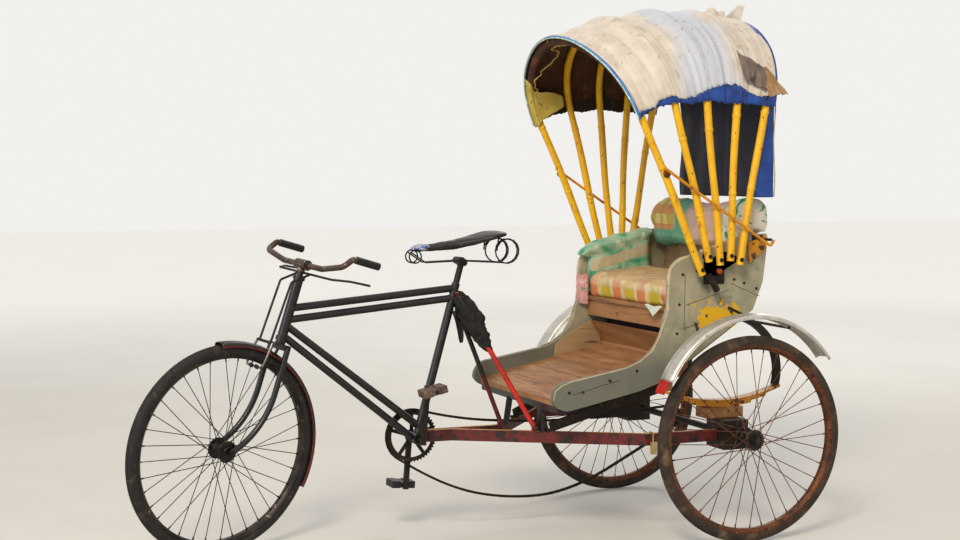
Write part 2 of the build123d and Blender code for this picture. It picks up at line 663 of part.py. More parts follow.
# Seat box: two front boards with a gap between, a sloping underside and the seat board
SEAT_BOARD = 14.0
seat_low = SEAT_Z - SEAT_BOARD
upper_board = block((-BODY_HALF, BODY_HALF), (SEAT_FRONT_Y, SEAT_FRONT_Y + 16), (722, seat_low))
lower_board = slab([(-200, 700), (-188, 700), (-135, 622), (-147, 616)], -BODY_HALF, BODY_HALF)
seat_board = block((-BODY_HALF, BODY_HALF), (SEAT_FRONT_Y - 8, 86), (seat_low, SEAT_Z))
under_board = slab([(-148, 615), (-135, 615), (85, 762), (85, 776), (-141, 626)], -BODY_HALF, BODY_HALF)
put("seat_box", upper_board + seat_board, lower_board + under_board)
back_outline = [
    (103, SEAT_Z), (137, 885), (150, 1000), (150, 1048), (136, 1048), (136, 1001), (123, 888), (88, SEAT_Z)
]
put("back_board", slab(back_outline, -BODY_HALF, BODY_HALF))

# Soft seat pieces: seat cushion, backrest over the back board, one armrest on the right
CUSHION_RIGHT = 56 - BODY_HALF
CUSHION_LEFT = BODY_HALF - 4
cushion_outline = [(-218, SEAT_Z), (-226, 862), (-210, 882), (-120, 892), (47, 907), (50, SEAT_Z)]
put("seat_cushion", slab(cushion_outline, CUSHION_RIGHT, CUSHION_LEFT))
PANEL_HIGH = 1054.0
backrest_low = [(72, 977), (131, 977), (135, 1001), (135, PANEL_HIGH), (64, PANEL_HIGH), (62, 1010)]
backrest_high = [
    (64, PANEL_HIGH), (62, 1110), (78, 1162), (104, 1186),
    (134, 1182), (164, 1152), (176, 1094), (164, PANEL_HIGH),
]
backrest = fuse([
    slab(backrest_low, 4 - BODY_HALF, BODY_HALF - 4),
    slab(backrest_high, 2 - panel_out, panel_out - 2),
])
put("backrest", backrest)
armrest_outline = [
    (-228, SEAT_Z), (-238, 900), (-236, 940), (-220, 972), (-190, 992),
    (-70, 1020), (56, 1050), (56, 960), (60, SEAT_Z),
]
put("armrest", slab(armrest_outline, 2 - BODY_HALF, CUSHION_RIGHT))

# Rear axle bearings, wooden blocks, leaf springs and the curved irons behind
BEARING_LOW_X, BEARING_HIGH_X = BODY_HALF - 40, BODY_HALF + 80
bearing = block((BEARING_LOW_X, BEARING_HIGH_X), (-48, 48), (WHEEL_R - 50, WHEEL_R + 52))
put("axle_bearings", *both_sides(bearing - disc((0, 0, WHEEL_R), AXLE_R + RUNNING_FIT, 600)))

SPRING_X = BODY_HALF - 26
block_low = WHEEL_R + 52
packing = block((SPRING_X - 35, SPRING_X + 35), (-80, 70), (block_low, block_low + 36))
put("spring_blocks", *both_sides(packing))
LEAVES = [110.0, 170.0, 230.0]
LEAF_WALL = 8.0
LEAF_WIDTH = 44.0
SPRING_ARC_R = 650.0
leaf_z = block_low + 36
spring_center = leaf_z + SPRING_ARC_R


def on_spring(radius, reach):
    """A point of a leaf from its arc's radius and its lengthwise place."""
    return (reach, spring_center - math.sqrt(radius**2 - reach**2))


leaves = []
for number, half_length in enumerate(LEAVES):
    outer = SPRING_ARC_R - LEAF_WALL * number
    inner = outer - LEAF_WALL
    low_arc = ThreePointArc(*[on_spring(outer, reach) for reach in (-half_length, 0, half_length)])
    high_arc = ThreePointArc(*[on_spring(inner, reach) for reach in (half_length, 0, -half_length)])
    ends = [Line(low_arc @ 1, high_arc @ 0), Line(high_arc @ 1, low_arc @ 0)]
    face = Plane.YZ * make_face(Wire([low_arc.edge(), ends[0].edge(), high_arc.edge(), ends[1].edge()]))
    leaves.append(Pos(SPRING_X - LEAF_WIDTH / 2, 0, 0) * extrude(face, LEAF_WIDTH))
spring = fuse(leaves)
put("leaf_springs", *both_sides(spring))

# Hangers at the springs' front ends and curved irons at their rear ends
spring_end_z = on_spring(SPRING_ARC_R - 3 * LEAF_WALL, LEAVES[2])[1]
hanger_y = 14 - LEAVES[2]
hanger_top = floor_z(hanger_y - 12) - FLOOR_WALL - SILL + 6
hanger = block((SPRING_X - 12, SPRING_X + 20), (hanger_y - 12, hanger_y + 12), (spring_end_z - 2, hanger_top))
put("floor_sills", *both_sides(fuse([sill, hanger - spring])))
iron_y = LEAVES[2] - 8
IRON_TOP_Y, IRON_TOP_Z = 62.0, 746.0
iron_front = ThreePointArc((iron_y - 10, spring_end_z - 1), (iron_y - 12, 615), (IRON_TOP_Y, IRON_TOP_Z))
iron_heel = (IRON_TOP_Y + 22, IRON_TOP_Z + 14.7)
iron_top = Line((IRON_TOP_Y, IRON_TOP_Z), iron_heel)
iron_back = ThreePointArc(iron_heel, (iron_y + 8, 618), (iron_y + 8, spring_end_z - 1))
iron_foot = Line((iron_y + 8, spring_end_z - 1), (iron_y - 10, spring_end_z - 1))
iron_face = Plane.YZ * make_face(Wire([edge.edge() for edge in (iron_front, iron_top, iron_back, iron_foot)]))
iron = Pos(SPRING_X - 15, 0, 0) * extrude(iron_face, 30)
put("rear_body_irons", *both_sides(iron - spring - under_board))

# Braces from the rails at the posts up to the spring hangers
BRACE_Y = -606.0
BRACE_RIGHT_Y = -596.0
brace_end = Vector(SPRING_X - 36, hanger_y + 6, spring_end_z + 8)
brace_left = Vector(rail_x(BRACE_Y, LEFT_RAIL) - 10, BRACE_Y, RAIL_TOP + 14)
brace_right = Vector(rail_x(BRACE_RIGHT_Y, RIGHT_RAIL) + 10, BRACE_RIGHT_Y, RAIL_TOP + 14)
held_by = [left_rail, right_rail, *both_sides(spring), *both_sides(hanger), *both_sides(sill)]
braces = []
for start, side in ((brace_left, 1), (brace_right, -1)):
    end = Vector(side * brace_end.X, brace_end.Y, brace_end.Z)
    foot = block((start.X - 9, start.X + 9), (start.Y - 16, start.Y + 16), (RAIL_TOP, RAIL_TOP + 9))
    web = fuse([bar(start, end, 12, 34), foot])
    for solid in held_by:
        web = web - solid
    braces.append(largest(web))
put("body_braces", *braces)

# Tool box slung under the floor
put("tool_box", block((-150, 150), (-430, -230), (398, floor_z(-430) - FLOOR_WALL - 1)))

# Rear mudguards with a red flap at the front end, and their stays
REAR_GUARD_R = WHEEL_R + 13.5
REAR_GUARD_RISE = 63.0
GUARD_HALF = 40.0
GUARD_FROM, GUARD_TO = 34.5, 155.0
STAY_ANGLES = (60.0, 90.0, 121.0)
guard_middle = Vector(TRACK / 2, 0, WHEEL_R + REAR_GUARD_RISE)
rear_guard = guard(guard_middle, REAR_GUARD_R, GUARD_HALF, GUARD_FROM, GUARD_TO)
put("mudguards_rear", *both_sides(rear_guard))
FLAP_LONG, FLAP_WIDE, FLAP_WALL = 48.0, 60.0, 3.0


def on_guard(x, radius, degrees):
    """A point from its distance to the mudguard's middle and its angle above +Y."""
    angle = math.radians(degrees)
    return Vector(x, radius * math.cos(angle), guard_middle.Z + radius * math.sin(angle))


flap_at = on_guard(TRACK / 2, REAR_GUARD_R - 4, GUARD_TO)
guard_end = math.radians(GUARD_TO)
flap_end = flap_at + Vector(0, -math.sin(guard_end), math.cos(guard_end)) * FLAP_LONG
flap = bar(flap_at, flap_end, FLAP_WIDE, FLAP_WALL)
put("reflector_flaps", *both_sides(flap))
stays = []
for angle in STAY_ANGLES:
    at_guard = on_guard(TRACK / 2 - GUARD_HALF + 6, REAR_GUARD_R - 12, angle)
    at_panel = Vector(panel_out - 6, min(at_guard.Y * 0.7, 80), at_guard.Z + 20)
    stays.append(largest(rod(at_panel, at_guard, 5) - rear_guard - panel))
put("mudguard_stays", *[solid for stay in stays for solid in both_sides(stay)])

# Hood pivot brackets, stay hooks and the five arches
PIVOT_R = 7.0
STRAP_WALL = 4.0
STRAP_STEP = 5.5
STRAP_MID_X = panel_out + 20
PLATE_WALL = 4.0
bracket_plate = block(
    (panel_out, panel_out + PLATE_WALL),
    (HOOD_PIVOT.Y - 40, HOOD_PIVOT.Y + 40),
    (HOOD_PIVOT.Z - 46, HOOD_PIVOT.Z + 34),
)
bolt_root = Vector(panel_out, HOOD_PIVOT.Y, HOOD_PIVOT.Z)
pivot_bolt = rod(bolt_root, bolt_root + Vector(44, 0, 0), PIVOT_R)
brackets = both_sides(fuse([bracket_plate, pivot_bolt]))
arch_rise = ARCH_TOP - ARCH_SHOULDER
arch_spread = (ARCH_X - ARCH_CORNER) ** 2
arch_top_r = (arch_rise**2 + arch_spread - ARCH_CORNER**2) / (2 * (arch_rise - ARCH_CORNER))
top_center = ARCH_TOP - arch_top_r
corner_x = ARCH_X - ARCH_CORNER
meet = math.atan2(ARCH_SHOULDER - top_center, corner_x)


def arch_line(low, grow=0.0):
    """A hood arch in its own plane, from the left foot over the top to the right foot."""
    corner = ARCH_CORNER + grow
    half = corner_x + corner
    meet_x = corner_x + corner * math.cos(meet)
    meet_z = ARCH_SHOULDER + corner * math.sin(meet)
    mid_x = corner_x + corner * math.cos(meet / 2)
    mid_z = ARCH_SHOULDER + corner * math.sin(meet / 2)
    return [
        Line((half, low), (half, ARCH_SHOULDER)),
        ThreePointArc((half, ARCH_SHOULDER), (mid_x, mid_z), (meet_x, meet_z)),
        ThreePointArc((meet_x, meet_z), (0, ARCH_TOP + grow), (-meet_x, meet_z)),
        ThreePointArc((-meet_x, meet_z), (-mid_x, mid_z), (-half, ARCH_SHOULDER)),
        Line((-half, ARCH_SHOULDER), (-half, low)),
    ]


def arch_plane(lean_angle, order):
    """Plane of one arch: local x is the vehicle's X, local y runs up the legs."""
    angle = math.radians(lean_angle)
    fore = Vector(0, -math.cos(angle), -math.sin(angle))
    return Plane(origin=HOOD_PIVOT + fore * (ARCH_STEP * order), x_dir=(1, 0, 0), z_dir=fore)


hoops = {}
for name, lean_angle, base, order in ARCHES:
    plane = arch_plane(lean_angle, order)
    path = plane * Wire([edge.edge() for edge in arch_line(base)])
    hoop = sweep(Plane(origin=path @ 0, z_dir=path % 0) * Circle(ARCH_R), path=path)
    straps = []
    for side in (1, -1):
        strap_x = side * (STRAP_MID_X + STRAP_STEP * order)
        outline = make_hull([
            Pos(ARCH_STEP * order, 0) * Circle(15).edge(),
            Pos(0, base + 18) * Circle(10).edge(),
        ])
        strap_root = plane.origin + Vector(strap_x - STRAP_WALL / 2, 0, 0)
        flat = Plane(origin=strap_root, x_dir=-plane.z_dir, z_dir=(1, 0, 0))
        plate = extrude(flat * outline, STRAP_WALL)
        hole = rod(HOOD_PIVOT, HOOD_PIVOT + Vector(side * 2 * ARCH_X, 0, 0), PIVOT_R + 0.5)
        pin_foot = plane.from_local_coords(Vector(strap_x, base + 18, 0))
        pin_head = plane.from_local_coords(Vector(side * ARCH_X, base + 18, 0))
        straps.append(plate - hole)
        straps.append(rod(pin_foot, pin_head, 5))
    hoops[name] = hoop
    put(name, fuse([hoop] + straps))


# Stay rods from the front arch, hooked under pins at the back of the side panels
STAY_X = ARCH_X + ARCH_R + 10
STAY_R = 5.0
STAY_V = 418.0
HOOK_PIN = (116.0, 1034.0)
HOOK_GAP = 6.0
front_plane = arch_plane(ARCHES[0][1], ARCHES[0][3])
stay_pin = front_plane.from_local_coords(Vector(STAY_X, STAY_V, 0))
pin_root = front_plane.from_local_coords(Vector(ARCH_X + ARCH_R - 2, STAY_V, 0))
hook_at = Vector(STAY_X, *HOOK_PIN)
along_stay = (hook_at - stay_pin).normalized()
under_pin = Vector(0, along_stay.Z, -along_stay.Y)
hook_reach = 2 * STAY_R + HOOK_GAP
stay_end = hook_at + under_pin * hook_reach + along_stay * (hook_reach + 1)
stay_tip = stay_end - under_pin * (hook_reach + 8)
stay_rod = bent_rod([stay_pin, stay_end, stay_tip], 8, STAY_R)
stay = fuse([stay_rod, rod(pin_root + Vector(4, 0, 0), stay_pin, 4)])
put("hood_stays", *both_sides(stay))
plate_y, plate_z = HOOK_PIN
hook_plate = block(
    (panel_out, panel_out + PLATE_WALL),
    (plate_y - 26, plate_y + 16),
    (plate_z - 36, plate_z + 14),
)
hook_pin = rod((panel_out, *HOOK_PIN), (STAY_X + STAY_R + HOOK_GAP, *HOOK_PIN), STAY_R)
brackets += both_sides(fuse([hook_plate, hook_pin]))
put("hood_brackets", *brackets)

# Hood canvas over the arches, and a curtain behind
OVERHANG_FRONT, OVERHANG_BACK = 22.0, 30.0
planes = [arch_plane(lean_angle, order) for _, lean_angle, _, order in ARCHES]
planes = [planes[0].offset(OVERHANG_FRONT)] + planes + [planes[-1].offset(-OVERHANG_BACK)]


def hood_section(grow, low):
    """The rounded part of an arch above a hem height, from its left end to its right."""
    corner = ARCH_CORNER + grow
    line = []
    hem = math.asin((low - ARCH_SHOULDER) / corner)
    for angle in (hem, (hem + meet) / 2, meet):
        line.append((corner_x + corner * math.cos(angle), ARCH_SHOULDER + corner * math.sin(angle)))
    left = ThreePointArc(*line)
    top = ThreePointArc(line[2], (0, ARCH_TOP + grow), (-line[2][0], line[2][1]))
    right = ThreePointArc(*[(-x, z) for x, z in reversed(line)])
    return [left, top, right]


def canvas_band(plane, low):
    """The canvas cut by one plane, as a closed face."""
    gap = ARCH_R + 1
    inner = hood_section(gap, low)
    outer = hood_section(gap + CANVAS, low)
    start = Line(inner[0] @ 0, outer[0] @ 0)
    end = Line(outer[-1] @ 1, inner[-1] @ 1)
    edges = [edge.edge() for edge in inner + outer + [start, end]]
    return plane * make_face(Wire(edges))


faces = [canvas_band(plane, low) for plane, low in zip(planes, CANVAS_HEM)]
panels = [loft([first, second], ruled=True) for first, second in zip(faces, faces[1:])]
put("canopy", fuse(panels))
CURTAIN_Y, CURTAIN_LOW = 146.0, 1176.0
CURTAIN_BEND, CURTAIN_TOP = (146.0, 1590.0), (188.0, 1818.0)
CURTAIN_WALL = 4.0
CURTAIN_RIGHT = 152 - ARCH_X
curtain_line = [(CURTAIN_Y, CURTAIN_LOW), CURTAIN_BEND, CURTAIN_TOP]
curtain_outline = curtain_line + [(y + CURTAIN_WALL, z) for y, z in reversed(curtain_line)]
curtain_edges = arch_line(0, -6)
curtain_edges.append(Line(curtain_edges[-1] @ 1, curtain_edges[0] @ 0))
curtain_plane = Plane(origin=(0, CURTAIN_Y - 60, HOOD_PIVOT.Z), x_dir=(1, 0, 0), z_dir=(0, -1, 0))
curtain_face = curtain_plane * make_face(Wire([edge.edge() for edge in curtain_edges]))
curtain = slab(curtain_outline, CURTAIN_RIGHT, ARCH_X) & extrude(curtain_face, -200)
put("rear_curtain", largest(curtain - parts["canopy"] - fuse(list(hoops.values()))))

# Padlock on a loop round the left rail
LOCK_Y = -300.0
outer_x, inner_x = RAIL_X + 3, RAIL_X - RAIL_FLANGE - 3
top_z, low_z = RAIL_TOP + 3, RAIL_TOP - RAIL_SIZE - 3
corners = [(outer_x, top_z), (inner_x, top_z), (inner_x, low_z), (outer_x, low_z)]
SHACKLE_R = 2.5
loop = [
    rod((x0, LOCK_Y, z0), (x1, LOCK_Y, z1), SHACKLE_R)
    for (x0, z0), (x1, z1) in zip(corners, corners[1:] + corners[:1])
]
knuckles = [Pos(x, LOCK_Y, z) * Sphere(SHACKLE_R) for x, z in corners]
lock_body = block((outer_x + 1, outer_x + 14), (LOCK_Y - 12, LOCK_Y + 12), (low_z - 26, low_z + 16))
put("padlock", fuse(loop + knuckles + [lock_body]))

# The origin goes on the ground under the middle of the whole
box = Compound(children=[copy_of for solid in parts.values() for copy_of in solid.solids()]).bounding_box()
SHIFT = Vector(-(box.min.X + box.max.X) / 2, -(box.min.Y + box.max.Y) / 2, -box.min.Z)
parts = {name: Pos(SHIFT) * solid for name, solid in parts.items()}

os.makedirs("parts", exist_ok=True)
for name, solid in parts.items():
    export_step(solid, f"parts/{name}.step")
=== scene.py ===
import json
from math import asin, atan2, copysign, cos, degrees, dist, exp, hypot, pi, radians, sin, sqrt

import bmesh
import bpy
from mathutils import Matrix, Vector, noise


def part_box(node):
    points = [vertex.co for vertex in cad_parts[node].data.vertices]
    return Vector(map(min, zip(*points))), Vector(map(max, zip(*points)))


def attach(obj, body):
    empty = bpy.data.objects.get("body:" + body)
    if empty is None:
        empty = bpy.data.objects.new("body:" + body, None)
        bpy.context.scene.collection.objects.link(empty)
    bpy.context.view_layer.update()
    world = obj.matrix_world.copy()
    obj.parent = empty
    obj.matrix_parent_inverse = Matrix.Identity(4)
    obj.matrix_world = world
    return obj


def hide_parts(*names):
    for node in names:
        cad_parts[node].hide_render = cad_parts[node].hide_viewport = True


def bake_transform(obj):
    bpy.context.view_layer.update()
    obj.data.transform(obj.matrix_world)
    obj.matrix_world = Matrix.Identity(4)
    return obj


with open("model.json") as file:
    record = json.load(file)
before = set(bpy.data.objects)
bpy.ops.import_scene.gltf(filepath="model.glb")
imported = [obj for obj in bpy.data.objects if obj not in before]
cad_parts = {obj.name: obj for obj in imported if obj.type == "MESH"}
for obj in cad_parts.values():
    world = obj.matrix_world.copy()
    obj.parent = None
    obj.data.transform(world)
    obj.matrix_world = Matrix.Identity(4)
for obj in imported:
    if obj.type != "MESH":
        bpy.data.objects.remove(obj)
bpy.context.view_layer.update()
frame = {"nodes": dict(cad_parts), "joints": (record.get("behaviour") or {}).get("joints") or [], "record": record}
nodes = frame["nodes"]
joints = {joint["name"]: joint for joint in frame["joints"]}

# Places are written in millimetres, lengthwise from the rear axle, x to the vehicle's left
WHEEL_R, TRACK, BODY_HALF, PANEL_WALL = 355.5, 1020.0, 340.0, 24.0
AXLE_Y, AXLE_Z = joints["rear_axle_spin"]["pos_m"][1:]
GROUND = AXLE_Z - WHEEL_R / 1000


def at(x, y, z):
    """A point in the frame, in metres, from millimetres measured at the rear axle."""
    return Vector((x / 1000, y / 1000 + AXLE_Y, z / 1000 + GROUND))


def ys(*places):
    """Lengthwise places in metres."""
    return [at(0, place, 0).y for place in places]


def zs(*places):
    """Heights in metres."""
    return [at(0, 0, place).z for place in places]


# Materials
ROUND, MATT, DULL = (1, 1, 1), (0.85, 0.95), (0.8, 0.95)
M = {}


def linear(code):
    """Linear colour of an sRGB hex code."""
    values = [int(code[i:i + 2], 16) / 255 for i in (0, 2, 4)]
    return tuple(v / 12.92 if v <= 0.04045 else ((v + 0.055) / 1.055) ** 2.4 for v in values) + (1.0,)


def feed(tree, socket, value):
    """Link a socket to a node's output, or set it to a number, a vector or a hex colour."""
    if isinstance(value, bpy.types.NodeSocket):
        tree.links.new(value, socket)
    else:
        socket.default_value = linear(value) if isinstance(value, str) else value


def add(tree, kind, settings=None, **inputs):
    """Add a shader node, its settings by name and its inputs by socket name."""
    node = tree.nodes.new("ShaderNode" + kind)
    for name, value in (settings or {}).items():
        setattr(node, name, value)
    for name, value in inputs.items():
        feed(tree, next(s for s in node.inputs if s.name == name and s.enabled), value)
    return node


def out(node, name=None):
    """A node's enabled output."""
    return next(s for s in node.outputs if s.enabled and name in (None, s.name))


def calc(tree, operation, first, second=0.0):
    node = add(tree, "Math", {"operation": operation})
    feed(tree, node.inputs[0], first)
    feed(tree, node.inputs[1], second)
    return node.outputs[0]


def both(tree, first, second):
    return calc(tree, "MULTIPLY", first, second)


def mix(tree, share, first, second):
    """The first colour where share is 0, the second where it is 1."""
    node = add(tree, "Mix", {"data_type": "RGBA"})
    for place, value in ((0, share), (6, first), (7, second)):
        feed(tree, node.inputs[place], value)
    return node.outputs[2]


def band(tree, value, low, high):
    """0 below low, 1 above high and smooth between."""
    node = add(tree, "MapRange", {"interpolation_type": "SMOOTHSTEP"})
    for place, number in enumerate((value, low, high)):
        feed(tree, node.inputs[place], number)
    return node.outputs[0]


def fade(tree, value, low, high):
    """1 below low, 0 above high and smooth between."""
    return calc(tree, "SUBTRACT", 1.0, band(tree, value, low, high))


def within(tree, value, low, risen, falling, high):
    """1 from risen to falling, 0 below low and above high."""
    return both(tree, band(tree, value, low, risen), fade(tree, value, falling, high))


def speckle(tree, size, stretch=ROUND, detail=4.0, seed=0.0, warp=0.0):
    """Noise whose spots are about that many millimetres, longer where stretch is above 1."""
    scale = [1000 / size / s for s in stretch]
    coords = out(add(tree, "TexCoord"), "Object")
    place = add(tree, "Mapping", Vector=coords, Scale=scale, Location=(seed, seed * 2.3, seed * 0.7))
    return out(add(tree, "TexNoise", Vector=out(place), Scale=1.0, Detail=detail, Distortion=warp), "Fac")


def surface(key, name, first, second, marks=(), rough=(0.5, 0.7), grain=(), metal=0.0, blotch=60,
            stretch=ROUND, extra=None):
    """A worn surface: two mottled colours, marks over them, roughness from noise and bumps.

    marks: hex, size in mm, low, high and maybe a stretch. grain: size and height in mm, maybe a stretch.
    extra: a function that takes the tree and the colour and returns a new colour.
    """
    made = M[key] = bpy.data.materials.new(name)
    made.use_nodes = True
    tree = made.node_tree
    shader = tree.nodes["Principled BSDF"]
    colour = mix(tree, band(tree, speckle(tree, blotch, stretch, 5.0), 0.35, 0.65), first, second)
    for number, (code, size, low, high, *long) in enumerate(marks):
        spots = speckle(tree, size, long[0] if long else ROUND, 6.0, 3.1 + 7.7 * number, 0.3)
        colour = mix(tree, band(tree, spots, low, high), colour, code)
    if extra:
        colour = extra(tree, colour)
    tree.links.new(colour, shader.inputs["Base Color"])
    gloss = add(tree, "MapRange", Value=speckle(tree, blotch * 0.6, stretch, 6.0, 11.0))
    gloss.inputs[3].default_value, gloss.inputs[4].default_value = rough
    tree.links.new(gloss.outputs[0], shader.inputs["Roughness"])
    shader.inputs["Metallic"].default_value = metal
    normal = None
    for number, (size, height, *long) in enumerate(grain):
        bump = add(tree, "Bump", Height=speckle(tree, size, long[0] if long else ROUND, 5.0, 20.0 + number),
                   Strength=1.0, Distance=height / 1000)
        if normal:
            tree.links.new(normal, bump.inputs["Normal"])
        normal = bump.outputs[0]
    if normal:
        tree.links.new(normal, shader.inputs["Normal"])
    return made


def facing(tree, axis, low=0.5, high=0.8):
    """1 on surfaces that face along an axis."""
    normal = out(add(tree, "NewGeometry"), "Normal")
    return band(tree, out(add(tree, "SeparateXYZ", Vector=normal), axis), low, high)


def place_of(tree, axis):
    """An object coordinate, which is the place in the frame in metres."""
    coords = out(add(tree, "TexCoord"), "Object")
    return out(add(tree, "SeparateXYZ", Vector=coords), axis)


def stripe(tree, value, period, share, shift=0.0):
    """1 on stripes of a period in millimetres along a coordinate in metres."""
    turns = calc(tree, "ADD", both(tree, value, 1000 / period), shift)
    return calc(tree, "LESS_THAN", calc(tree, "FRACT", turns), share)


def rail_top(tree, colour):
    """Painted sunlight: a yellow brown in patches on the upward faces of the rails."""
    # painted light: upward faces turn yellow brown in patches, as where sunlight falls
    worn = both(tree, facing(tree, "Z"), band(tree, speckle(tree, 30, ROUND, 5.0, 4.0), 0.3, 0.45))
    return mix(tree, worn, colour, "B97A1E")


def check_front(tree, colour):
    """Faded yellow, orange and cream checks on the front edge of the cushion, plain on top."""
    across = place_of(tree, "X")
    front = calc(tree, "SUBTRACT", 1.0, facing(tree, "Z", 0.45, 0.75))
    shown = mix(tree, stripe(tree, across, 190, 0.40, 0.1), "DCCB98", "C6B624")
    shown = mix(tree, stripe(tree, across, 190, 0.34, 0.60), shown, "D9824C")
    low = fade(tree, place_of(tree, "Z"), *zs(837, 851))
    shown = mix(tree, low, mix(tree, 0.55, shown, "E2D6BE"), shown)
    warm = band(tree, speckle(tree, 45, ROUND, 3.0, 2.0), 0.4, 0.7)
    shown = mix(tree, both(tree, warm, 0.45), shown, "C98E4E")
    return mix(tree, front, colour, shown)


def patches(tree, colour):
    """Patched prints on the backrest: checks at the right end, pink in the middle, leaves at the left; the darker
    brownish pink of the middle is partly painted shade.
    """
    across = calc(tree, "ADD", place_of(tree, "X"), both(tree, speckle(tree, 90), 0.08))
    checks = mix(tree, stripe(tree, across, 74, 0.5, 0.2), "C7B04A", "DCCF8C")
    checks = mix(tree, both(tree, stripe(tree, place_of(tree, "Z"), 74, 0.5), 0.8), checks, "D08A58")
    right = fade(tree, across, -0.10, -0.07)
    high = band(tree, place_of(tree, "Z"), *zs(1046, 1058))
    colour = mix(tree, both(tree, right, high), colour, checks)
    # partly painted shade: the darker brownish pink stands for shade on the cloth, mottled with its pale pink print
    pink = mix(tree, speckle(tree, 40), "B98A80", "E0CDB8")
    colour = mix(tree, within(tree, across, -0.01, 0.03, 0.24, 0.26), colour, pink)
    leaves = band(tree, speckle(tree, 60, (1, 2.2, 1), 1.5, 8.0, 1.2), 0.53, 0.56)
    return mix(tree, band(tree, across, 0.25, 0.27), colour, mix(tree, leaves, "E2DCCB", "1E9A66"))


def arm_stripe(tree, colour):
    """A plain beige stripe along the inner face of the armrest."""
    rise = both(tree, calc(tree, "SUBTRACT", place_of(tree, "Y"), *ys(-80)), 0.27)
    level = calc(tree, "SUBTRACT", calc(tree, "SUBTRACT", place_of(tree, "Z"), *zs(925)), rise)
    inside = both(tree, band(tree, level, -0.001, 0.001), calc(tree, "LESS_THAN", level, 0.04))
    return mix(tree, both(tree, inside, facing(tree, "X", 0.4, 0.6)), colour, "BDB08E")


def panel_marks(tree, colour):
    """Old yellow paint at the foot of the rear panel, and painted shade: a darker, colder grey along the low front
    part.
    """
    along, height = place_of(tree, "Y"), place_of(tree, "Z")
    # painted shade: the panels darken to a cold grey below about 740 mm
    low = fade(tree, height, *zs(570, 740))
    colour = mix(tree, both(tree, low, 0.85), colour, "62645B")
    ragged = both(tree, calc(tree, "SUBTRACT", speckle(tree, 26, ROUND, 5.0, 9.0), 0.5), 0.09)
    along, height = calc(tree, "ADD", along, ragged), calc(tree, "ADD", height, ragged)
    inside = both(tree, within(tree, along, *ys(-122, -118, 50, 54)),
                  within(tree, height, *zs(736, 742, 796, 800)))
    colour = mix(tree, inside, colour, "E3B012")
    near = both(tree, within(tree, height, *zs(770, 800, 815, 845)),
                within(tree, along, *ys(-170, -140, 0, 20)))
    drops = both(tree, near, band(tree, speckle(tree, 16, ROUND, 3.0, 15.0), 0.56, 0.6))
    return mix(tree, drops, colour, "DDA90F")


def canvas_marks(tree, colour):
    """Bleached blue-white canvas in the middle of the hood, and brown water lines near its hem."""
    along = calc(tree, "ADD", place_of(tree, "Y"), both(tree, speckle(tree, 120), 0.12))
    pale = within(tree, along, *ys(-190, -110, 0, 80))
    colour = mix(tree, both(tree, pale, 0.85), colour, "C6CDDC")
    lines = band(tree, speckle(tree, 34, (0.6, 0.6, 6), 4.0, 17.0, 0.5), 0.6, 0.68)
    return mix(tree, both(tree, lines, 0.4), colour, "9C8A66")


# Paints
surface("black_paint", "black_paint_brushed", "0B0B0C", "121110",
        [("3A2A20", 25, 0.62, 0.72), ("4A4038", 8, 0.68, 0.74)], (0.18, 0.42), [(6, 0.15)])
# Red paint, with painted sunlight on its tops from rail_top
surface("red_paint", "red_paint_worn_sunlit_top", "4A0E0A", "6A150C",
        [("1C0D0A", 30, 0.52, 0.62), ("2A1A12", 8, 0.6, 0.7)], (0.45, 0.7), [(5, 0.2)], extra=rail_top)
surface("yellow_steel", "yellow_paint_on_steel", "D9930F", "C67F0A",
        [("3A2410", 22, 0.56, 0.62), ("7A4A12", 7, 0.62, 0.7)], (0.4, 0.65), [(6, 0.2)])
surface("stay_yellow", "rod_painted_yellow_rusting", "E09A0A", "C87C08", [("6A3410", 14, 0.58, 0.68)],
        (0.4, 0.65), [(4, 0.2)])
surface("panel_paint", "grey_paint_on_board", "AAA488", "98947C",
        [("6F6A58", 90, 0.55, 0.75), ("4A3A28", 14, 0.68, 0.74)], (0.5, 0.75), [(9, 0.3, (1, 3, 3))],
        extra=panel_marks)
surface("guard_black", "guard_steel_black_dusty", "17120F", "241B15", [("4A3A2C", 40, 0.55, 0.72)],
        (0.35, 0.6), [(30, 0.4)])
surface("red_edge", "red_paint_on_edge", "8A1A10", "5A120C", [("2A1410", 14, 0.55, 0.66)], (0.4, 0.6))
surface("bead_cream", "paint_cream_chipped", "CDBE9C", "B8A682", [("6A4E34", 16, 0.62, 0.7)])
surface("orange_bolt", "paint_orange_on_bolt", "B0481E", "8E3414", [("3A1A10", 8, 0.58, 0.7)])

# Bare and plated metals
surface("dark_steel", "steel_greasy", "1B1714", "2A211B", [("4A2C18", 18, 0.58, 0.68)], (0.4, 0.7),
        [(4, 0.25)], 0.5)
surface("bright_steel", "steel_plated_dull", "8C8A86", "6E6A64", [("4A3424", 10, 0.6, 0.68)], (0.22, 0.45),
        [(4, 0.08)], 0.9)
surface("aluminium", "aluminium_sheet_worn", "D2CEC6", "BDB8AE",
        [("8A8074", 16, 0.64, 0.74), ("8C5A34", 6, 0.72, 0.78)], (0.3, 0.5), [(30, 0.5)], 0.6)
surface("rusty_plating", "steel_plating_rusted", "6A3A1A", "4E2A14",
        [("96602E", 9, 0.58, 0.7), ("2A1710", 22, 0.55, 0.68)], (0.45, 0.75), [(4, 0.25)], 0.4)
surface("dark_plating", "steel_plating_blackened", "3A332E", "262120", [("8C857C", 20, 0.62, 0.72)],
        (0.25, 0.55), [(4, 0.2)], 0.7)
surface("plating_brown", "steel_plating_browned", "6A5A50", "4A3C34",
        [("C8C0B8", 12, 0.62, 0.72), ("2E211A", 9, 0.6, 0.7)], (0.2, 0.45), [(4, 0.08)], 0.8)
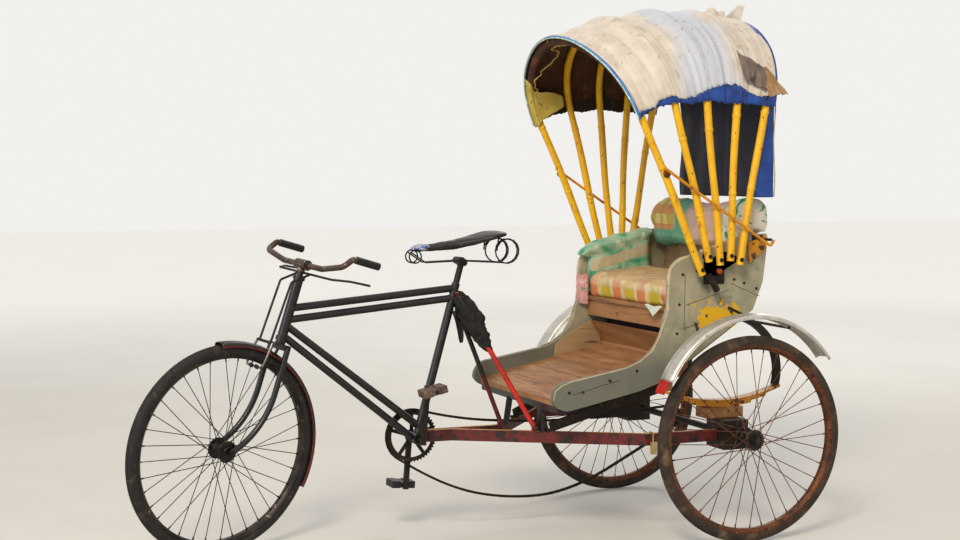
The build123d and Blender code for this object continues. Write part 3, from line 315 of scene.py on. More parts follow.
surface("black_grease", "steel_under_black_grease", "0E0C0B", "1A1512", [("3A2A1C", 8, 0.62, 0.72)],
        (0.3, 0.6), [(6, 0.5)], 0.3)
surface("chain_steel", "steel_chain_oily", "191613", "2A241F", [("5A4432", 8, 0.58, 0.68)], (0.3, 0.5),
        metal=0.7)
surface("brass_worn", "brass_cast_worn", "C8B488", "A8905C", [("5A4A30", 10, 0.6, 0.7)], (0.3, 0.5), metal=0.6)

# Wood and bamboo
surface("bare_wood", "board_wood_sawn", "A9794C", "8C6038",
        [("5A3A20", 9, 0.58, 0.72, (14, 1, 1)), ("BE9468", 40, 0.58, 0.75, (4, 1, 1)), ("4A3424", 50, 0.64, 0.78)],
        (0.6, 0.85), [(5, 0.5, (20, 1, 1))], blotch=45, stretch=(6, 1, 1))
surface("light_wood", "board_wood_bleached", "A88C66", "967A56", [("6A5036", 12, 0.6, 0.72, (1, 12, 1))],
        (0.7, 0.9), [(5, 0.5, (1, 14, 1))], stretch=(1, 5, 1))
# Dark dirt in the joints of the boards; the same dark is painted shade inside the seat box
surface("joint_dark", "joint_dirt_and_painted_shade", "2A2018", "3A2C20", (), DULL)
surface("bamboo", "bamboo_painted_yellow", "F2BC08", "E8AE06",
        [("B87808", 24, 0.62, 0.74, (1, 1, 3)), ("2E1A08", 8, 0.65, 0.7, (1, 1, 2))], (0.35, 0.6),
        [(4, 0.3, (1, 1, 8))])

# Rubber and leather
surface("tyre_rubber", "tyre_rubber_dusty", "3E3228", "2C231D",
        [("7A6044", 60, 0.5, 0.8), ("1A1512", 24, 0.56, 0.72)], DULL, [(4, 0.3)])
surface("tyre_black", "tyre_rubber_black", "1A1716", "100E0E", [("3A3029", 30, 0.55, 0.7)], (0.6, 0.85),
        [(4, 0.3)])
surface("pedal_rubber", "rubber_pedal_dusty", "4A3A32", "6A5448", [("8C7060", 16, 0.55, 0.7)], (0.75, 0.9),
        [(4, 0.3)])
surface("grip_rubber", "rubber_moulded_black", "0C0B0B", "171413", [("2E2620", 14, 0.6, 0.7)], (0.5, 0.75),
        [(3, 0.2)])
surface("red_rubber", "rubber_red_faded", "C01408", "8E0E06", [("3A0A06", 14, 0.6, 0.7)])
surface("leather", "leather_cracked_black", "15120F", "0C0A09", [("3A3026", 9, 0.6, 0.68)], (0.4, 0.65),
        [(6, 0.4), (2, 0.15)])

# Canvas, tarp and lining of the hood
surface("canvas", "canvas_weathered_cream", "DDD4C6", "D2C7B8", [("B4A794", 90, 0.62, 0.8)], (0.75, 0.9),
        [(60, 5.0, (1, 1, 2.5)), (22, 1.6), (3, 0.2)], extra=canvas_marks)
surface("canvas_tan", "canvas_unbleached_tan", "B89470", "A47E56", (), DULL, [(20, 1.0)])
# Painted shade: grey cloth that stands for the shadowed gap under the folded rear corner
surface("canvas_shade", "canvas_grey_painted_shade", "6E625C", "85766E", [("4A403C", 30, 0.5, 0.7, (1, 1, 3))],
        DULL, [(20, 1.5)])
surface("tarp_blue", "tarp_blue_woven", "14357E", "1E4A9E", [("0C1E4A", 40, 0.55, 0.7)], (0.4, 0.6), [(3, 0.2)])
# Painted shade: the near-black navy on the inner face of the curtain
surface("tarp_navy", "curtain_inner_face_painted_shade", "0A1024", "0E1730", [("060A16", 60, 0.5, 0.7)], (0.5, 0.7),
        [(14, 0.8)])
surface("trim_blue", "tarp_fold_sunlit_blue", "2E6FC8", "4A8ADC", [("1A3F8A", 20, 0.55, 0.68)], (0.4, 0.6))
surface("lining_brown", "hessian_lining_brown", "4A2A12", "3A2010", [("6A4018", 50, 0.55, 0.7)], MATT,
        [(26, 2.0), (3, 0.3)])
# Painted shade: the dark inner face of the tarp under the canvas
surface("lining_dark", "tarp_inner_face_painted_shade", "2A150C", "1E1A12", [("14261C", 60, 0.55, 0.7)], (0.7, 0.9),
        [(20, 1.0)])
surface("fray_pale", "cotton_threads_pale_yellow", "D8BE7A", "C2A45C", (), MATT, [(2, 0.4)])
surface("cloth_pale_yellow", "cotton_pale_yellow_dirty", "CDB95C", "BFA648", [("8A7430", 14, 0.6, 0.7)],
        MATT, [(12, 1.5), (3, 0.3)])
surface("binding_green_white", "tape_woven_green_white", "D8E8CC", "8FC0A0", (), (0.7, 0.9), blotch=14)

# Seat covers, rags and tape
surface("cotton_check", "cotton_check_faded", "CDAE80", "BD9A6A", [("8A6A44", 90, 0.62, 0.75)], MATT,
        [(30, 1.2), (3, 0.25)], extra=check_front)
surface("cotton_patches", "cotton_print_patched", "5FA585", "7DB296", [("3F7A60", 60, 0.6, 0.72)],
        MATT, [(30, 1.5), (3, 0.25)], extra=patches)
surface("cotton_green", "cotton_print_green_faded", "8FB89C", "B4C8A8",
        [("3E9C74", 80, 0.5, 0.68), ("D8D4BC", 30, 0.6, 0.72)], MATT, [(3, 0.25)], extra=arm_stripe)
surface("seat_cloth", "cotton_check", "C9A578", "BC9667", (), DULL, [(3, 0.2)])
surface("green_cloth", "cotton_print_green", "5E9C78", "79A888", (), DULL, [(3, 0.2)])
surface("cloth_white_green", "cotton_white_green", "E4E8DA", "CFDCC8", [("4CA47C", 26, 0.55, 0.66)],
        DULL)
surface("cloth_pink_green", "cotton_pink_green", "D8A6A0", "C98A8A",
        [("2E9A68", 40, 0.55, 0.64), ("E8D8CC", 20, 0.58, 0.68)], DULL)
surface("scrap_blue_white", "cloth_scrap_blue_white", "C9CCD2", "8FA0B8",
        [("3C66A8", 12, 0.52, 0.6), ("3A3430", 14, 0.56, 0.66)], (0.7, 0.9), [(6, 1.0)])
surface("rag", "rag_dark_cloth", "12100F", "1C1817", (), MATT, [(12, 2.0)])
surface("red_tape", "tape_cotton_red", "C8240E", "A81A0A", [("5A0E08", 12, 0.6, 0.7)], (0.5, 0.75),
        [(3, 0.25)])

# Finish of each node: by its own name, by its slot's, or the one that its slot is named after
NODE_FINISH = {
    # The front support is black; on its bearer, which is red in shade, the black is painted shade.
    "front_support": "black_paint", "pedal_left": "pedal_rubber", "back_board": "light_wood", "padlock": "brass_worn",
    "brake_linkage": "dark_plating", "handlebar": "plating_brown", "hood_stays": "stay_yellow",
}
SLOT_FINISH = {
    "yellow_paint_steel": "yellow_steel", "grey_green_wood": "panel_paint", "black_leather": "leather",
    "mudguard_metal": "aluminium", "seat_fabric": "seat_cloth", "green_fabric": "green_cloth",
    "rag_cloth": "rag", "hood_cloth": "canvas", "curtain_cloth": "tarp_blue",
}
for entry in frame["record"]["subparts"]:
    slot_name = entry["material_slot"]
    finish = NODE_FINISH.get(entry["node"]) or SLOT_FINISH.get(slot_name, slot_name)
    for material_slot in nodes[entry["node"]].material_slots:
        material_slot.material = M[finish]


# Making of pieces: shapes are built in millimetres and placed in the frame
MM = Matrix.Scale(0.001, 4)
BASE = Matrix.Translation(at(0, 0, 0)) @ MM
VERT, FACE = bmesh.types.BMVert, bmesh.types.BMFace


def new_object(name, data):
    """An object in the scene for a mesh, a lamp or a camera; a bmesh becomes a mesh first."""
    if isinstance(data, bmesh.types.BMesh):
        shape, data = data, bpy.data.meshes.new(name)
        shape.to_mesh(data)
        shape.free()
    made = bpy.data.objects.new(name, data)
    bpy.context.scene.collection.objects.link(made)
    return made


def finish_piece(name, shape, material, body, slot_name, replaced=(), sharp=40, where=BASE):
    """One finished piece from a bmesh: placed, with its finish, its body and the node it stands for."""
    bmesh.ops.transform(shape, matrix=where, verts=shape.verts)
    bmesh.ops.recalc_face_normals(shape, faces=shape.faces)
    made = new_object(name, shape)
    made.data.materials.append(M[material])
    made.data.shade_smooth()
    made.data.set_sharp_from_angle(angle=radians(sharp))
    if body:
        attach(made, body)
    if replaced:
        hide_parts(*replaced)
    return made


def lathe(shape, profile, steps=96, start=0.0, turn=360.0, closed=True):
    """Turn a profile of (x, distance from the axle) points about the X axis, from an angle above +Y."""
    verts = [shape.verts.new((x, radius, 0)) for x, radius in profile]
    ring = verts + verts[:1] if closed else verts
    edges = [shape.edges.new(pair) for pair in zip(ring, ring[1:])]
    turned = Matrix.Rotation(radians(start), 3, "X")
    bmesh.ops.rotate(shape, cent=(0, 0, 0), matrix=turned, verts=verts)
    bmesh.ops.spin(shape, geom=verts + edges, cent=(0, 0, 0), axis=(1, 0, 0), steps=steps,
                   angle=radians(turn), use_merge=turn == 360)


def ring_frames(points):
    """The place and turn of a cross-section at each point of a path, without twist."""
    points = [Vector(point) for point in points]
    tangents = []
    for number in range(len(points)):
        before, after = points[max(number - 1, 0)], points[min(number + 1, len(points) - 1)]
        tangents.append((after - before).normalized())
    turn = Vector((0, 0, 1)).rotation_difference(tangents[0]).to_matrix().to_4x4()
    placed = []
    for number, (point, tangent) in enumerate(zip(points, tangents)):
        if number:
            turn = tangents[number - 1].rotation_difference(tangent).to_matrix().to_4x4() @ turn
        placed.append(Matrix.Translation(point) @ turn)
    return placed


def extrude(shape, faces):
    """The new points and the new faces of an extruded region."""
    grown = bmesh.ops.extrude_face_region(shape, geom=faces)["geom"]
    return [[item for item in grown if isinstance(item, kind)] for kind in (VERT, FACE)]


def tube(shape, points, radii, sides=12):
    """A closed round tube along a path, with one radius or one for each point."""
    if not hasattr(radii, "__len__"):
        radii = [radii] * len(points)
    placed = [turn @ Matrix.Scale(radius, 4) for turn, radius in zip(ring_frames(points), radii)]
    verts = bmesh.ops.create_circle(shape, cap_ends=True, radius=1, segments=sides, matrix=placed[0])["verts"]
    face = verts[0].link_faces[0]
    for before, after in zip(placed, placed[1:]):
        verts, (face, *_) = extrude(shape, [face])
        bmesh.ops.transform(shape, matrix=after @ before.inverted(), verts=verts)


def tubes(name, runs, radii, sides, *finish):
    """One finished piece of several tubes of the same thickness."""
    shape = bmesh.new()
    for points in runs:
        tube(shape, points, radii, sides)
    finish_piece(name, shape, *finish)


def mirrored(*runs):
    """Paths on the left and the same ones on the right."""
    return [[(side * x, y, z) for x, y, z in points] for side in (1, -1) for points in runs]


def plate(shape, outline, low, high, bevel=0.0):
    """A plate with an outline of (y, z) pairs between two places across."""
    verts = [shape.verts.new((low, *pair)) for pair in outline]
    face = shape.faces.new(verts)
    moved, ends = extrude(shape, [face])
    bmesh.ops.translate(shape, vec=(high - low, 0, 0), verts=moved)
    if bevel:
        faces = {item for vert in moved + verts for item in vert.link_faces}
        bmesh.ops.recalc_face_normals(shape, faces=list(faces))
        rim = {edge for end in [face, *ends] for edge in end.edges}
        bmesh.ops.bevel(shape, geom=list(rim), offset=bevel, segments=2, profile=0.5, affect="EDGES", material=-1)


def plates(name, outline, spans, *finish, bevel=0.0):
    """One finished piece of plates with the same outline."""
    shape = bmesh.new()
    for low, high in spans:
        plate(shape, outline, low, high, bevel)
    finish_piece(name, shape, *finish)


def ball(name, columns, rows, place, *finish):
    """One finished piece from a unit ball whose points are moved to place(point)."""
    shape = bmesh.new()
    bmesh.ops.create_uvsphere(shape, u_segments=columns, v_segments=rows, radius=1)
    for vert in shape.verts:
        vert.co = place(vert.co)
    return finish_piece(name, shape, *finish)


def circle_of(cx, cy, radius, count=16, start=0.0, turn=360.0):
    """Points of a circle or of an arc, as pairs."""
    steps = count if turn == 360 else count - 1
    angles = [radians(start + turn * number / steps) for number in range(count)]
    return [(cx + radius * cos(angle), cy + radius * sin(angle)) for angle in angles]


# Wheels: dusty tyres, turned rims, crossed wire spokes with nipples and flanged hubs
TYRE_R, RIM_R, SPOKES, SPOKE_LEAD, SPOKE_CIRCLE, NIPPLE = 19.0, 308.0, 36, 55, 31, 17
AXIS_UP = Vector(joints["steering"]["axis"]).normalized()
STEER_REST = 20.0
STEER = Matrix.Rotation(radians(STEER_REST), 4, AXIS_UP)
FRONT = Matrix.Translation(joints["front_wheel_spin"]["pos_m"]) @ STEER @ MM
TYRE_SECTION = [
    (15, 320), (18, 326), (19, 334), (18.4, 341), (16, 347), (14.2, 349.3), (12.6, 349.3), (11.6, 351.4),
    (8.6, 353.2), (7.8, 351.8), (6.4, 351.9), (5.6, 354.5), (1.6, 355.3), (0.9, 353.9),
]
RIM_SECTION = [
    (17, 328), (15, 328), (13.5, 319), (-13.5, 319), (-15, 328), (-17, 328),
    (-17.2, 318), (-12, 311), (-8, 308), (8, 308), (12, 311), (17.2, 318),
]


def two_sided(half):
    """A whole section from its half at positive x."""
    return half + [(-x, radius) for x, radius in reversed(half)]


def make_wheel(label, where, body, barrel, flange, bore, rim_finish, tyre_finish, spoke_finish):
    shape = bmesh.new()
    lathe(shape, two_sided(TYRE_SECTION), 128)
    finish_piece(f"tyre_{label}_rubber", shape, tyre_finish, body, "tyre_rubber", [f"tyre_{label}"], 50, where)
    shape = bmesh.new()
    lathe(shape, RIM_SECTION, 128)
    finish_piece(f"rim_{label}", shape, rim_finish, body, "bright_steel", [f"wheel_{label}"], 35, where)
    shape = bmesh.new()
    for number in range(SPOKES):
        side = 1 if number % 2 else -1
        at_rim = radians(360 / SPOKES * number)
        at_hub = at_rim + radians(SPOKE_LEAD if (number // 2) % 2 else -SPOKE_LEAD)
        inner = Vector((side * (flange + 1.5), SPOKE_CIRCLE * cos(at_hub), SPOKE_CIRCLE * sin(at_hub)))
        outer = Vector((side * 3, (RIM_R + 4) * cos(at_rim), (RIM_R + 4) * sin(at_rim)))
        neck = outer + (inner - outer).normalized() * NIPPLE
        tube(shape, [inner, neck], 1.5, 6)
        tube(shape, [neck, neck.lerp(outer, 0.2), outer], [1.6, 2.7, 2.9], 6)
        tube(shape, [inner - Vector((side * 2.6, 0, 0)), inner + Vector((side * 0.9, 0, 0))], 2.6, 6)
    finish_piece(f"spokes_{label}", shape, spoke_finish, body, "bright_steel", (), 60, where)
    shape = bmesh.new()
    half = [
        (barrel, bore), (barrel, 17), (barrel - 2, 19), (flange + 3, 19), (flange + 2, 35), (flange + 1, 36),
        (flange - 1, 36), (flange - 2, 35), (flange - 3, 22), (flange - 9, 17.4), (4, 16.4),
    ]
    lathe(shape, two_sided(half), 48)
    finish_piece(f"hub_{label}", shape, "black_grease", body, "dark_steel", (), 35, where)


def axle_nuts(name, height, parts, *finish):
    """Washers and nuts at both ends of an axle: where each starts, its depth, radius and sides."""
    shape = bmesh.new()
    for side in (1, -1):
        for start, depth, radius, sides in parts:
            tube(shape, [(side * start, 0, height), (side * (start + depth), 0, height)], radius, sides)
    finish_piece(name, shape, *finish)


for side, label, body in ((1, "left", "rear_axle"), (-1, "right", "right_wheel")):
    rear = Matrix.Translation(at(side * TRACK / 2, 0, WHEEL_R)) @ MM
    make_wheel(f"rear_{label}", rear, body, 42, 32, 12.2, "rusty_plating", "tyre_rubber", "rusty_plating")
make_wheel("front", FRONT, "front_wheel", 39, 30, 4.8, "dark_plating", "tyre_black", "black_grease")
axle_nuts("rear_axle_nuts", WHEEL_R, ((552.5, 3, 20, 24), (555.5, 9, 16, 6)),
          "black_grease", "rear_axle", "dark_steel", (), 30)
axle_nuts("front_axle_nuts", 0, ((60.5, 2, 11, 20), (62.5, 5, 8.5, 6)),
          "dark_steel", "steering", "dark_steel", (), 30, FRONT)


# Mudguards: sheet strips with a raised middle rib and rolled edges
def make_guard(label, where, body, radius, half, low, high, finish, edge_finish, replaced):
    shape = bmesh.new()
    side = [(half, radius - 16), (half - 1.5, radius - 9), (half * 0.8, radius - 3.5), (half * 0.62, radius - 1.8),
            (7, radius - 1.6), (4.5, radius - 0.2)]
    lathe(shape, two_sided(side), 72, low, high - low, closed=False)
    made = finish_piece(label, shape, finish, body, "mudguard_metal", replaced, 60, where)
    wall = made.modifiers.new("wall", "SOLIDIFY")
    wall.thickness, wall.offset = 0.0014, -1
    edge = circle_of(0, 0, radius - 15.5, 49, low, high - low)
    tubes(f"{label}_edges", [[(x, y, z) for y, z in edge] for x in (half - 0.6, 0.6 - half)], 2.2, 8,
          edge_finish, body, "mudguard_metal", (), 60, where)


GUARD_MIDDLE_Z, REAR_GUARD_R = WHEEL_R + 63, WHEEL_R + 13.5
for side, label, replaced in ((1, "left", ["mudguards_rear"]), (-1, "right", ())):
    where = Matrix.Translation(at(side * TRACK / 2, 0, GUARD_MIDDLE_Z)) @ MM
    make_guard(f"mudguard_rear_{label}", where, "chassis", REAR_GUARD_R, 40, 34.5, 155, "aluminium", "aluminium",
               replaced)
make_guard("mudguard_front_strip", FRONT, "steering", WHEEL_R + 9.5, TYRE_R + 7, -28, 94, "guard_black",
           "red_edge", ["mudguard_front"])

# Hood arches: painted bamboo poles bent to hoops, each on two steel straps with a pin
HOOD_Y, HOOD_Z = -62.0, 926.0
# Lean in degrees, place in the row and height of the pole's foot, from the front arch to the rearmost
ARCHES = {1: (24.0, 2, 20), 2: (14.4, 1, 45), 3: (5.8, 0, 22), 4: (-2.3, -1, 37), 5: (-10.1, -2, 34)}
ARCH_X, ARCH_SHOULDER, ARCH_CORNER, ARCH_STEP = 412.0, 600.0, 260.0, 34.0
CORNER_X, TOP_R, TOP_CENTER = 152.0, 497.5, 417.5
MEET = atan2(ARCH_SHOULDER - TOP_CENTER, CORNER_X)
ROUNDED = 2 * (ARCH_CORNER * MEET + TOP_R * (pi / 2 - MEET))
NODE_GAP = 268.0


def in_hood(number, x, up, fore=0.0):
    """A point in an arch's own plane, or ahead of it, as a place in millimetres."""
    lean, order, _ = ARCHES[number]
    angle = radians(lean)
    along = ARCH_STEP * order + fore
    y = HOOD_Y - cos(angle) * along - sin(angle) * up
    z = HOOD_Z - sin(angle) * along + cos(angle) * up
    return Vector((x, y, z))


def on_section(share, grow, hem):
    """A point (x, up) of the rounded hood section; share runs 0 to 1 from the left hem to the right."""
    corner, top = ARCH_CORNER + grow, TOP_R + grow
    low = asin(max(-0.35, min(0.9, (hem - ARCH_SHOULDER) / corner)))
    side_run, top_run = corner * (MEET - low), top * (pi / 2 - MEET)
    run = (1 - abs(2 * share - 1)) * (side_run + top_run)
    sign = 1 if share <= 0.5 else -1
    if run < side_run:
        angle = low + run / corner
        return sign * (CORNER_X + corner * cos(angle)), ARCH_SHOULDER + corner * sin(angle)
    angle = MEET + (run - side_run) / top
    return sign * top * cos(angle), TOP_CENTER + top * sin(angle)


def faces_at(shape, x):
    """The faces that lie square to X at a place."""
    return [face for face in shape.faces if all(abs(vert.co.x - x) < 1e-4 for vert in face.verts)]


for number, (_, order, base) in ARCHES.items():
    body = f"hood_arch_{number}"
    drop = ARCH_SHOULDER - base
    length = 2 * drop + ROUNDED
    nodes_at = [NODE_GAP * (0.35 + 0.13 * number) + NODE_GAP * step for step in range(9)]
    nodes_at = [place for place in nodes_at if place < length - 60]
    stops = {0.0, length} | {length * step / 60 for step in range(61)}
    stops |= {place + near for place in nodes_at for near in (-9, -4, 0, 4, 9)}
    points, radii = [], []
    for place in sorted(stops):
        if place < drop:
            x, up = ARCH_X, base + place
        elif place > length - drop:
            x, up = -ARCH_X, base + length - place
        else:
            x, up = on_section((place - drop) / ROUNDED, 0, ARCH_SHOULDER)
        near = min(nodes_at, key=lambda node: abs(node - place))
        kink = 2.4 * sin(place / NODE_GAP * pi + number)
        points.append(in_hood(number, x, up, kink))
        radii.append(12.9 + 1.9 * exp(-((place - near) / 5) ** 2) - 0.5 * sin(place / 70 + number))
    tubes(f"{body}_bamboo", [points], radii, 16, "bamboo", body, "bamboo", [body], 50)
    shape = bmesh.new()
    pin = in_hood(number, 0, base + 18)
    strap_x = 384 + 5.5 * order
    for side in (1, -1):
        # on the front arch a dark steel bar runs from each strap down the panel: a painted shadow of the pole's end
        if number == 1:
            tube(shape, [(side * (strap_x + 2.2), -104, 917), (side * (strap_x + 2.2), -66, 858)], 13, 4)
        rims = circle_of(HOOD_Y, HOOD_Z, 14.5, 20) + circle_of(pin.y, pin.z, 12, 20)
        ends = [shape.verts.new((side * strap_x, *pair)) for pair in rims]
        hull = bmesh.ops.convex_hull(shape, input=ends, use_existing_faces=False)
        spare = [item for item in hull["geom_interior"] if isinstance(item, VERT)]
        bmesh.ops.delete(shape, geom=spare, context="VERTS")
        bmesh.ops.dissolve_faces(shape, faces=faces_at(shape, side * strap_x))
        moved, _ = extrude(shape, faces_at(shape, side * strap_x))
        bmesh.ops.translate(shape, vec=(side * 3.4, 0, 0), verts=moved)
        tube(shape, [(side * (strap_x - 3), pin.y, pin.z), (side * (ARCH_X + 15), pin.y, pin.z)], 4.2, 10)
        tube(shape, [(side * (ARCH_X + 12), pin.y, pin.z), (side * (ARCH_X + 17), pin.y, pin.z)], [8, 6.5], 10)
    finish_piece(f"{body}_irons", shape, "dark_steel", body, "dark_steel", (), 35)

# Hood cloths: weathered canvas over a blue tarp, with a torn brown lining, in strips from arch to arch
# Stages are arches and how far ahead of them; a hem is given by its height over the pivots at some stages
HOOD_PLANES = [(1, 22), (1, 0), (2, 0), (3, 0), (4, 0), (5, 0), (5, -30)]
CREAM_HEM = [(0, 612), (0.83, 630), (1.35, 621), (1.59, 637), (1.94, 630), (2.08, 613), (2.6, 611), (3.05, 628),
             (3.5, 641), (3.86, 645), (4.23, 628), (4.63, 615), (4.9, 625), (5.6, 640), (6.6, 640)]
TARP_HEM = [(0, 606), (1.38, 616), (1.9, 606), (2.4, 589), (3.03, 588), (3.73, 577), (4.56, 584), (5.0, 590),
            (6.6, 596)]
LINING_HEM = [(0, 640), (2, 628), (3, 640), (4, 624), (6.6, 640)]
PATCH_HEM = [(0, 600), (0.8, 612), (2, 640)]
SAG = {1: 9.0, 2: 11.0, 3: 10.0, 4: 8.0}
HOOP_RUN, CLOTH_THICKNESS = 1.6, 0.0012


def rough_at(x, y, z):
    """Smooth noise, the same on each run."""
    return noise.noise(Vector((x, y, z)))


def between(table, place):
    """Value at a place in a table of (place, value) pairs."""
    for (low, first), (high, second) in zip(table, table[1:]):
        if low <= place <= high:
            return first + (second - first) * (place - low) / (high - low)
    return table[0][1] if place < table[0][0] else table[-1][1]


def hood_point(stage, share, grow, hem, rough=1.0):
    """A point of a cloth on the hood: stage 1 to 5 is the arch, 0 and 6 the rims, share runs round the hoop."""
    number = max(0, min(int(stage), 5))
    part = stage - number
    sag = SAG.get(number, 0.0) * 4 * max(part, 0) * max(1 - part, 0) * (0.35 + 0.65 * sin(pi * share))
    crease = rough_at(stage * 1.7, share * 5.0, 3.0) * 7.0
    crease += rough_at(stage * 4.0, share * 3.0, 9.0) * 4.5
    crease += rough_at(stage * 8.5, share * 2.4, 21.0) * 5.0
    held = 1 - 0.85 * exp(-((stage - round(stage)) / 0.12) ** 2) if 0.6 < stage < 5.4 else 0.5
    grow = grow - (sag - crease * held) * rough
    low = between(hem, stage) + rough_at(stage * 14.0, share * 2.0, grow) * 7.0
    here, there = [in_hood(arch, *on_section(share, grow, low), fore) for arch, fore in HOOD_PLANES[number:number + 2]]
    return here.lerp(there, part)


def cloth(name, columns, rows, place, material, body, slot_name, replaced=(), inner=None):
    """A sheet with its points at place(u, v) in millimetres."""
    shape = bmesh.new()
    bmesh.ops.create_grid(shape, x_segments=columns, y_segments=rows, size=0.5)
    for vert in shape.verts:
        vert.co = place(vert.co.x + 0.5, vert.co.y + 0.5)
    bmesh.ops.transform(shape, matrix=BASE, verts=shape.verts)
    area = sum(face.calc_area() for face in shape.faces)
    made = finish_piece(name, shape, material, body, slot_name, replaced, 180, Matrix.Identity(4))
    wall = made.modifiers.new("thickness", "SOLIDIFY")
    wall.thickness, wall.offset = CLOTH_THICKNESS, 0
    if inner:
        made.data.materials.append(M[inner])
        wall.material_offset = 1
    return made


def bend(made):
    """Bake a cloth's placement into its mesh."""
    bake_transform(made)


def hood_cloth(name, material, first, last, grow, hem, replaced=(), inner=None, front=None, back=None):
    """One cloth over the hood between two stages, cut into strips from arch to arch."""
    for number in range(1, 5):
        low = first if number == 1 else number
        high = last if number == 4 else number + 1

        def place(u, share):
            start = front(share) if front and number == 1 else low
            end = back(share) if back and number == 4 else high
            return hood_point(start + (end - start) * u, share, grow, hem)

        made = cloth(f"{name}_{number}", int(26 * (high - low)) + 4, 110, place, material, None, "hood_cloth",
                     replaced if number == 3 else (), inner)
        bend(made)


def torn_edge(share):
    """Where the torn front edge of the lining stands."""
    return 0.75 + 0.55 * rough_at(share * 7.0, 0.3, 0.0) + 0.25 * rough_at(share * 31.0, 2.3, 0.0)


def worn_back(share):
    """Where the canvas ends at the back: set forward on the left shoulder, where the tarp shows."""
    return 5.72 - 0.62 * exp(-((share - 0.31) / 0.07) ** 2) + 0.1 * rough_at(share * 25.0, 1.3, 0.0)


hood_cloth("canvas_outer", "canvas", 0.42, 5.75, 20.3, CREAM_HEM, ["canopy"], back=worn_back)
# The tarp's inner face gets the dark painted shade.
hood_cloth("tarp_under", "tarp_blue", 0.0, 6.0, 18.2, TARP_HEM, (), "lining_dark")
hood_cloth("lining", "lining_brown", 0.7, 5.6, 16.2, LINING_HEM, (), front=torn_edge)

# Lining turned round the front arch, its frayed pale edge and the bound front rim
ON_FRONT_ARCH = ("hood_arch_1", "hood_cloth", (), 180)


def fray_point(share):
    """A point of the torn threads inside the front of the hood."""
    ragged = rough_at(share * 9, 4, 1) * 0.25 + rough_at(share * 40, 4, 1) * 0.12
    stage = 1.0 + 0.38 * exp(-((share - 0.7) / 0.11) ** 2) + ragged
    return hood_point(stage, share, -20.0, LINING_HEM, 0.2)


sleeve = [in_hood(1, *on_section(0.02 + 0.96 * step / 120, -1.8, ARCH_SHOULDER + 4)) for step in range(121)]
tubes("front_arch_sleeve", [sleeve], [16.8 + 0.8 * rough_at(step * 0.35, 0, 2) for step in range(121)],
      16, "lining_brown", *ON_FRONT_ARCH)
tubes("lining_fray", [[fray_point(0.03 + 0.94 * step / 170) for step in range(171)]],
      [2.2 + 3.2 * abs(rough_at(step * 0.9, 0, 5)) for step in range(171)], 6, "fray_pale",
      *ON_FRONT_ARCH)
for name, stage, grow, radius, finish in (("rim_binding", 0.0, 17.5, 3.2, "binding_green_white"),
                                          ("rim_blue_roll", 0.16, 19.5, 4.5, "trim_blue")):
    tubes(name, [[hood_point(stage, step / 90, grow, TARP_HEM) for step in range(91)]], radius, 8, finish,
          *ON_FRONT_ARCH)


def torn_patch(u, v):
    """Pale torn cloth wrapped at the far lower end of the front arch."""
    stage = 0.02 + 1.75 * u
    width = 0.15 * (1 - u) ** 0.7 + 0.035
    inward = 36 * min(1.0, stage / 0.2)
    return hood_point(stage, 1.0 - width * (1 - v), 15 - inward, PATCH_HEM, 0.4)


cloth("torn_patch", 24, 24, torn_patch, "cloth_pale_yellow", "hood_arch_1", "hood_cloth")

# Curtain of blue tarp behind, wrapped forward to the rearmost arch on the left side; its inner face is navy as painted
# shade
CURTAIN_LOW_Z, CURTAIN_TOP_Z, WRAP_SHARE = 1180.0, 1800.0, 0.16


def half_width(up):
    """Half the width inside the hood at a height up the rearmost arch."""
    if up < ARCH_SHOULDER:
        return ARCH_X
    angle = asin(min(1.0, (up - ARCH_SHOULDER) / ARCH_CORNER))
    if angle < MEET:
        return CORNER_X + ARCH_CORNER * cos(angle)
    return sqrt(max(0.0, TOP_R ** 2 - (up - TOP_CENTER) ** 2))


def curtain(along, height):
    """A point of the curtain, from the arch on the left to its free edge on the right."""
    z = CURTAIN_LOW_Z + (CURTAIN_TOP_Z - CURTAIN_LOW_Z) * height
    up = (z - HOOD_Z + 12) / cos(radians(ARCHES[5][0]))
    rib = in_hood(5, 0, up)
    half = min(half_width(up) - 5, 405)
    back = max(150 + 38 * max(0.0, (z - 1590) / 228), rib.y + 16)
    if along < WRAP_SHARE:
        part = along / WRAP_SHARE
        x, y = half + 4 - 5 * part, rib.y + 10 + (back - rib.y - 10) * part
    else:
        part = (along - WRAP_SHARE) / (1 - WRAP_SHARE)
        right = -min(half, 258 + 8 * sin(z / 60))
        x, y = half - 1 + (right - half + 1) * part, back
    fold = sin(along * 46 + 4.4 * rough_at(along * 3, height * 2, 0))
    wave = fold * 5.0 * (1 - 0.8 * height) + 9 * rough_at(along * 5, height * 4, 7.0)
    return x, y + (wave if along > WRAP_SHARE else wave * 0.2), z


cloth("curtain", 120, 80, curtain, "tarp_blue", "hood_arch_5", "curtain_cloth",
      ["rear_curtain"], "tarp_navy")
tubes("curtain_edge_cord", [[(405, 152 + 3 * sin(step), 1182 + 40 * step) for step in range(9)]], 2.2, 8,
      "bead_cream", "hood_arch_5", "curtain_cloth", (), 180)

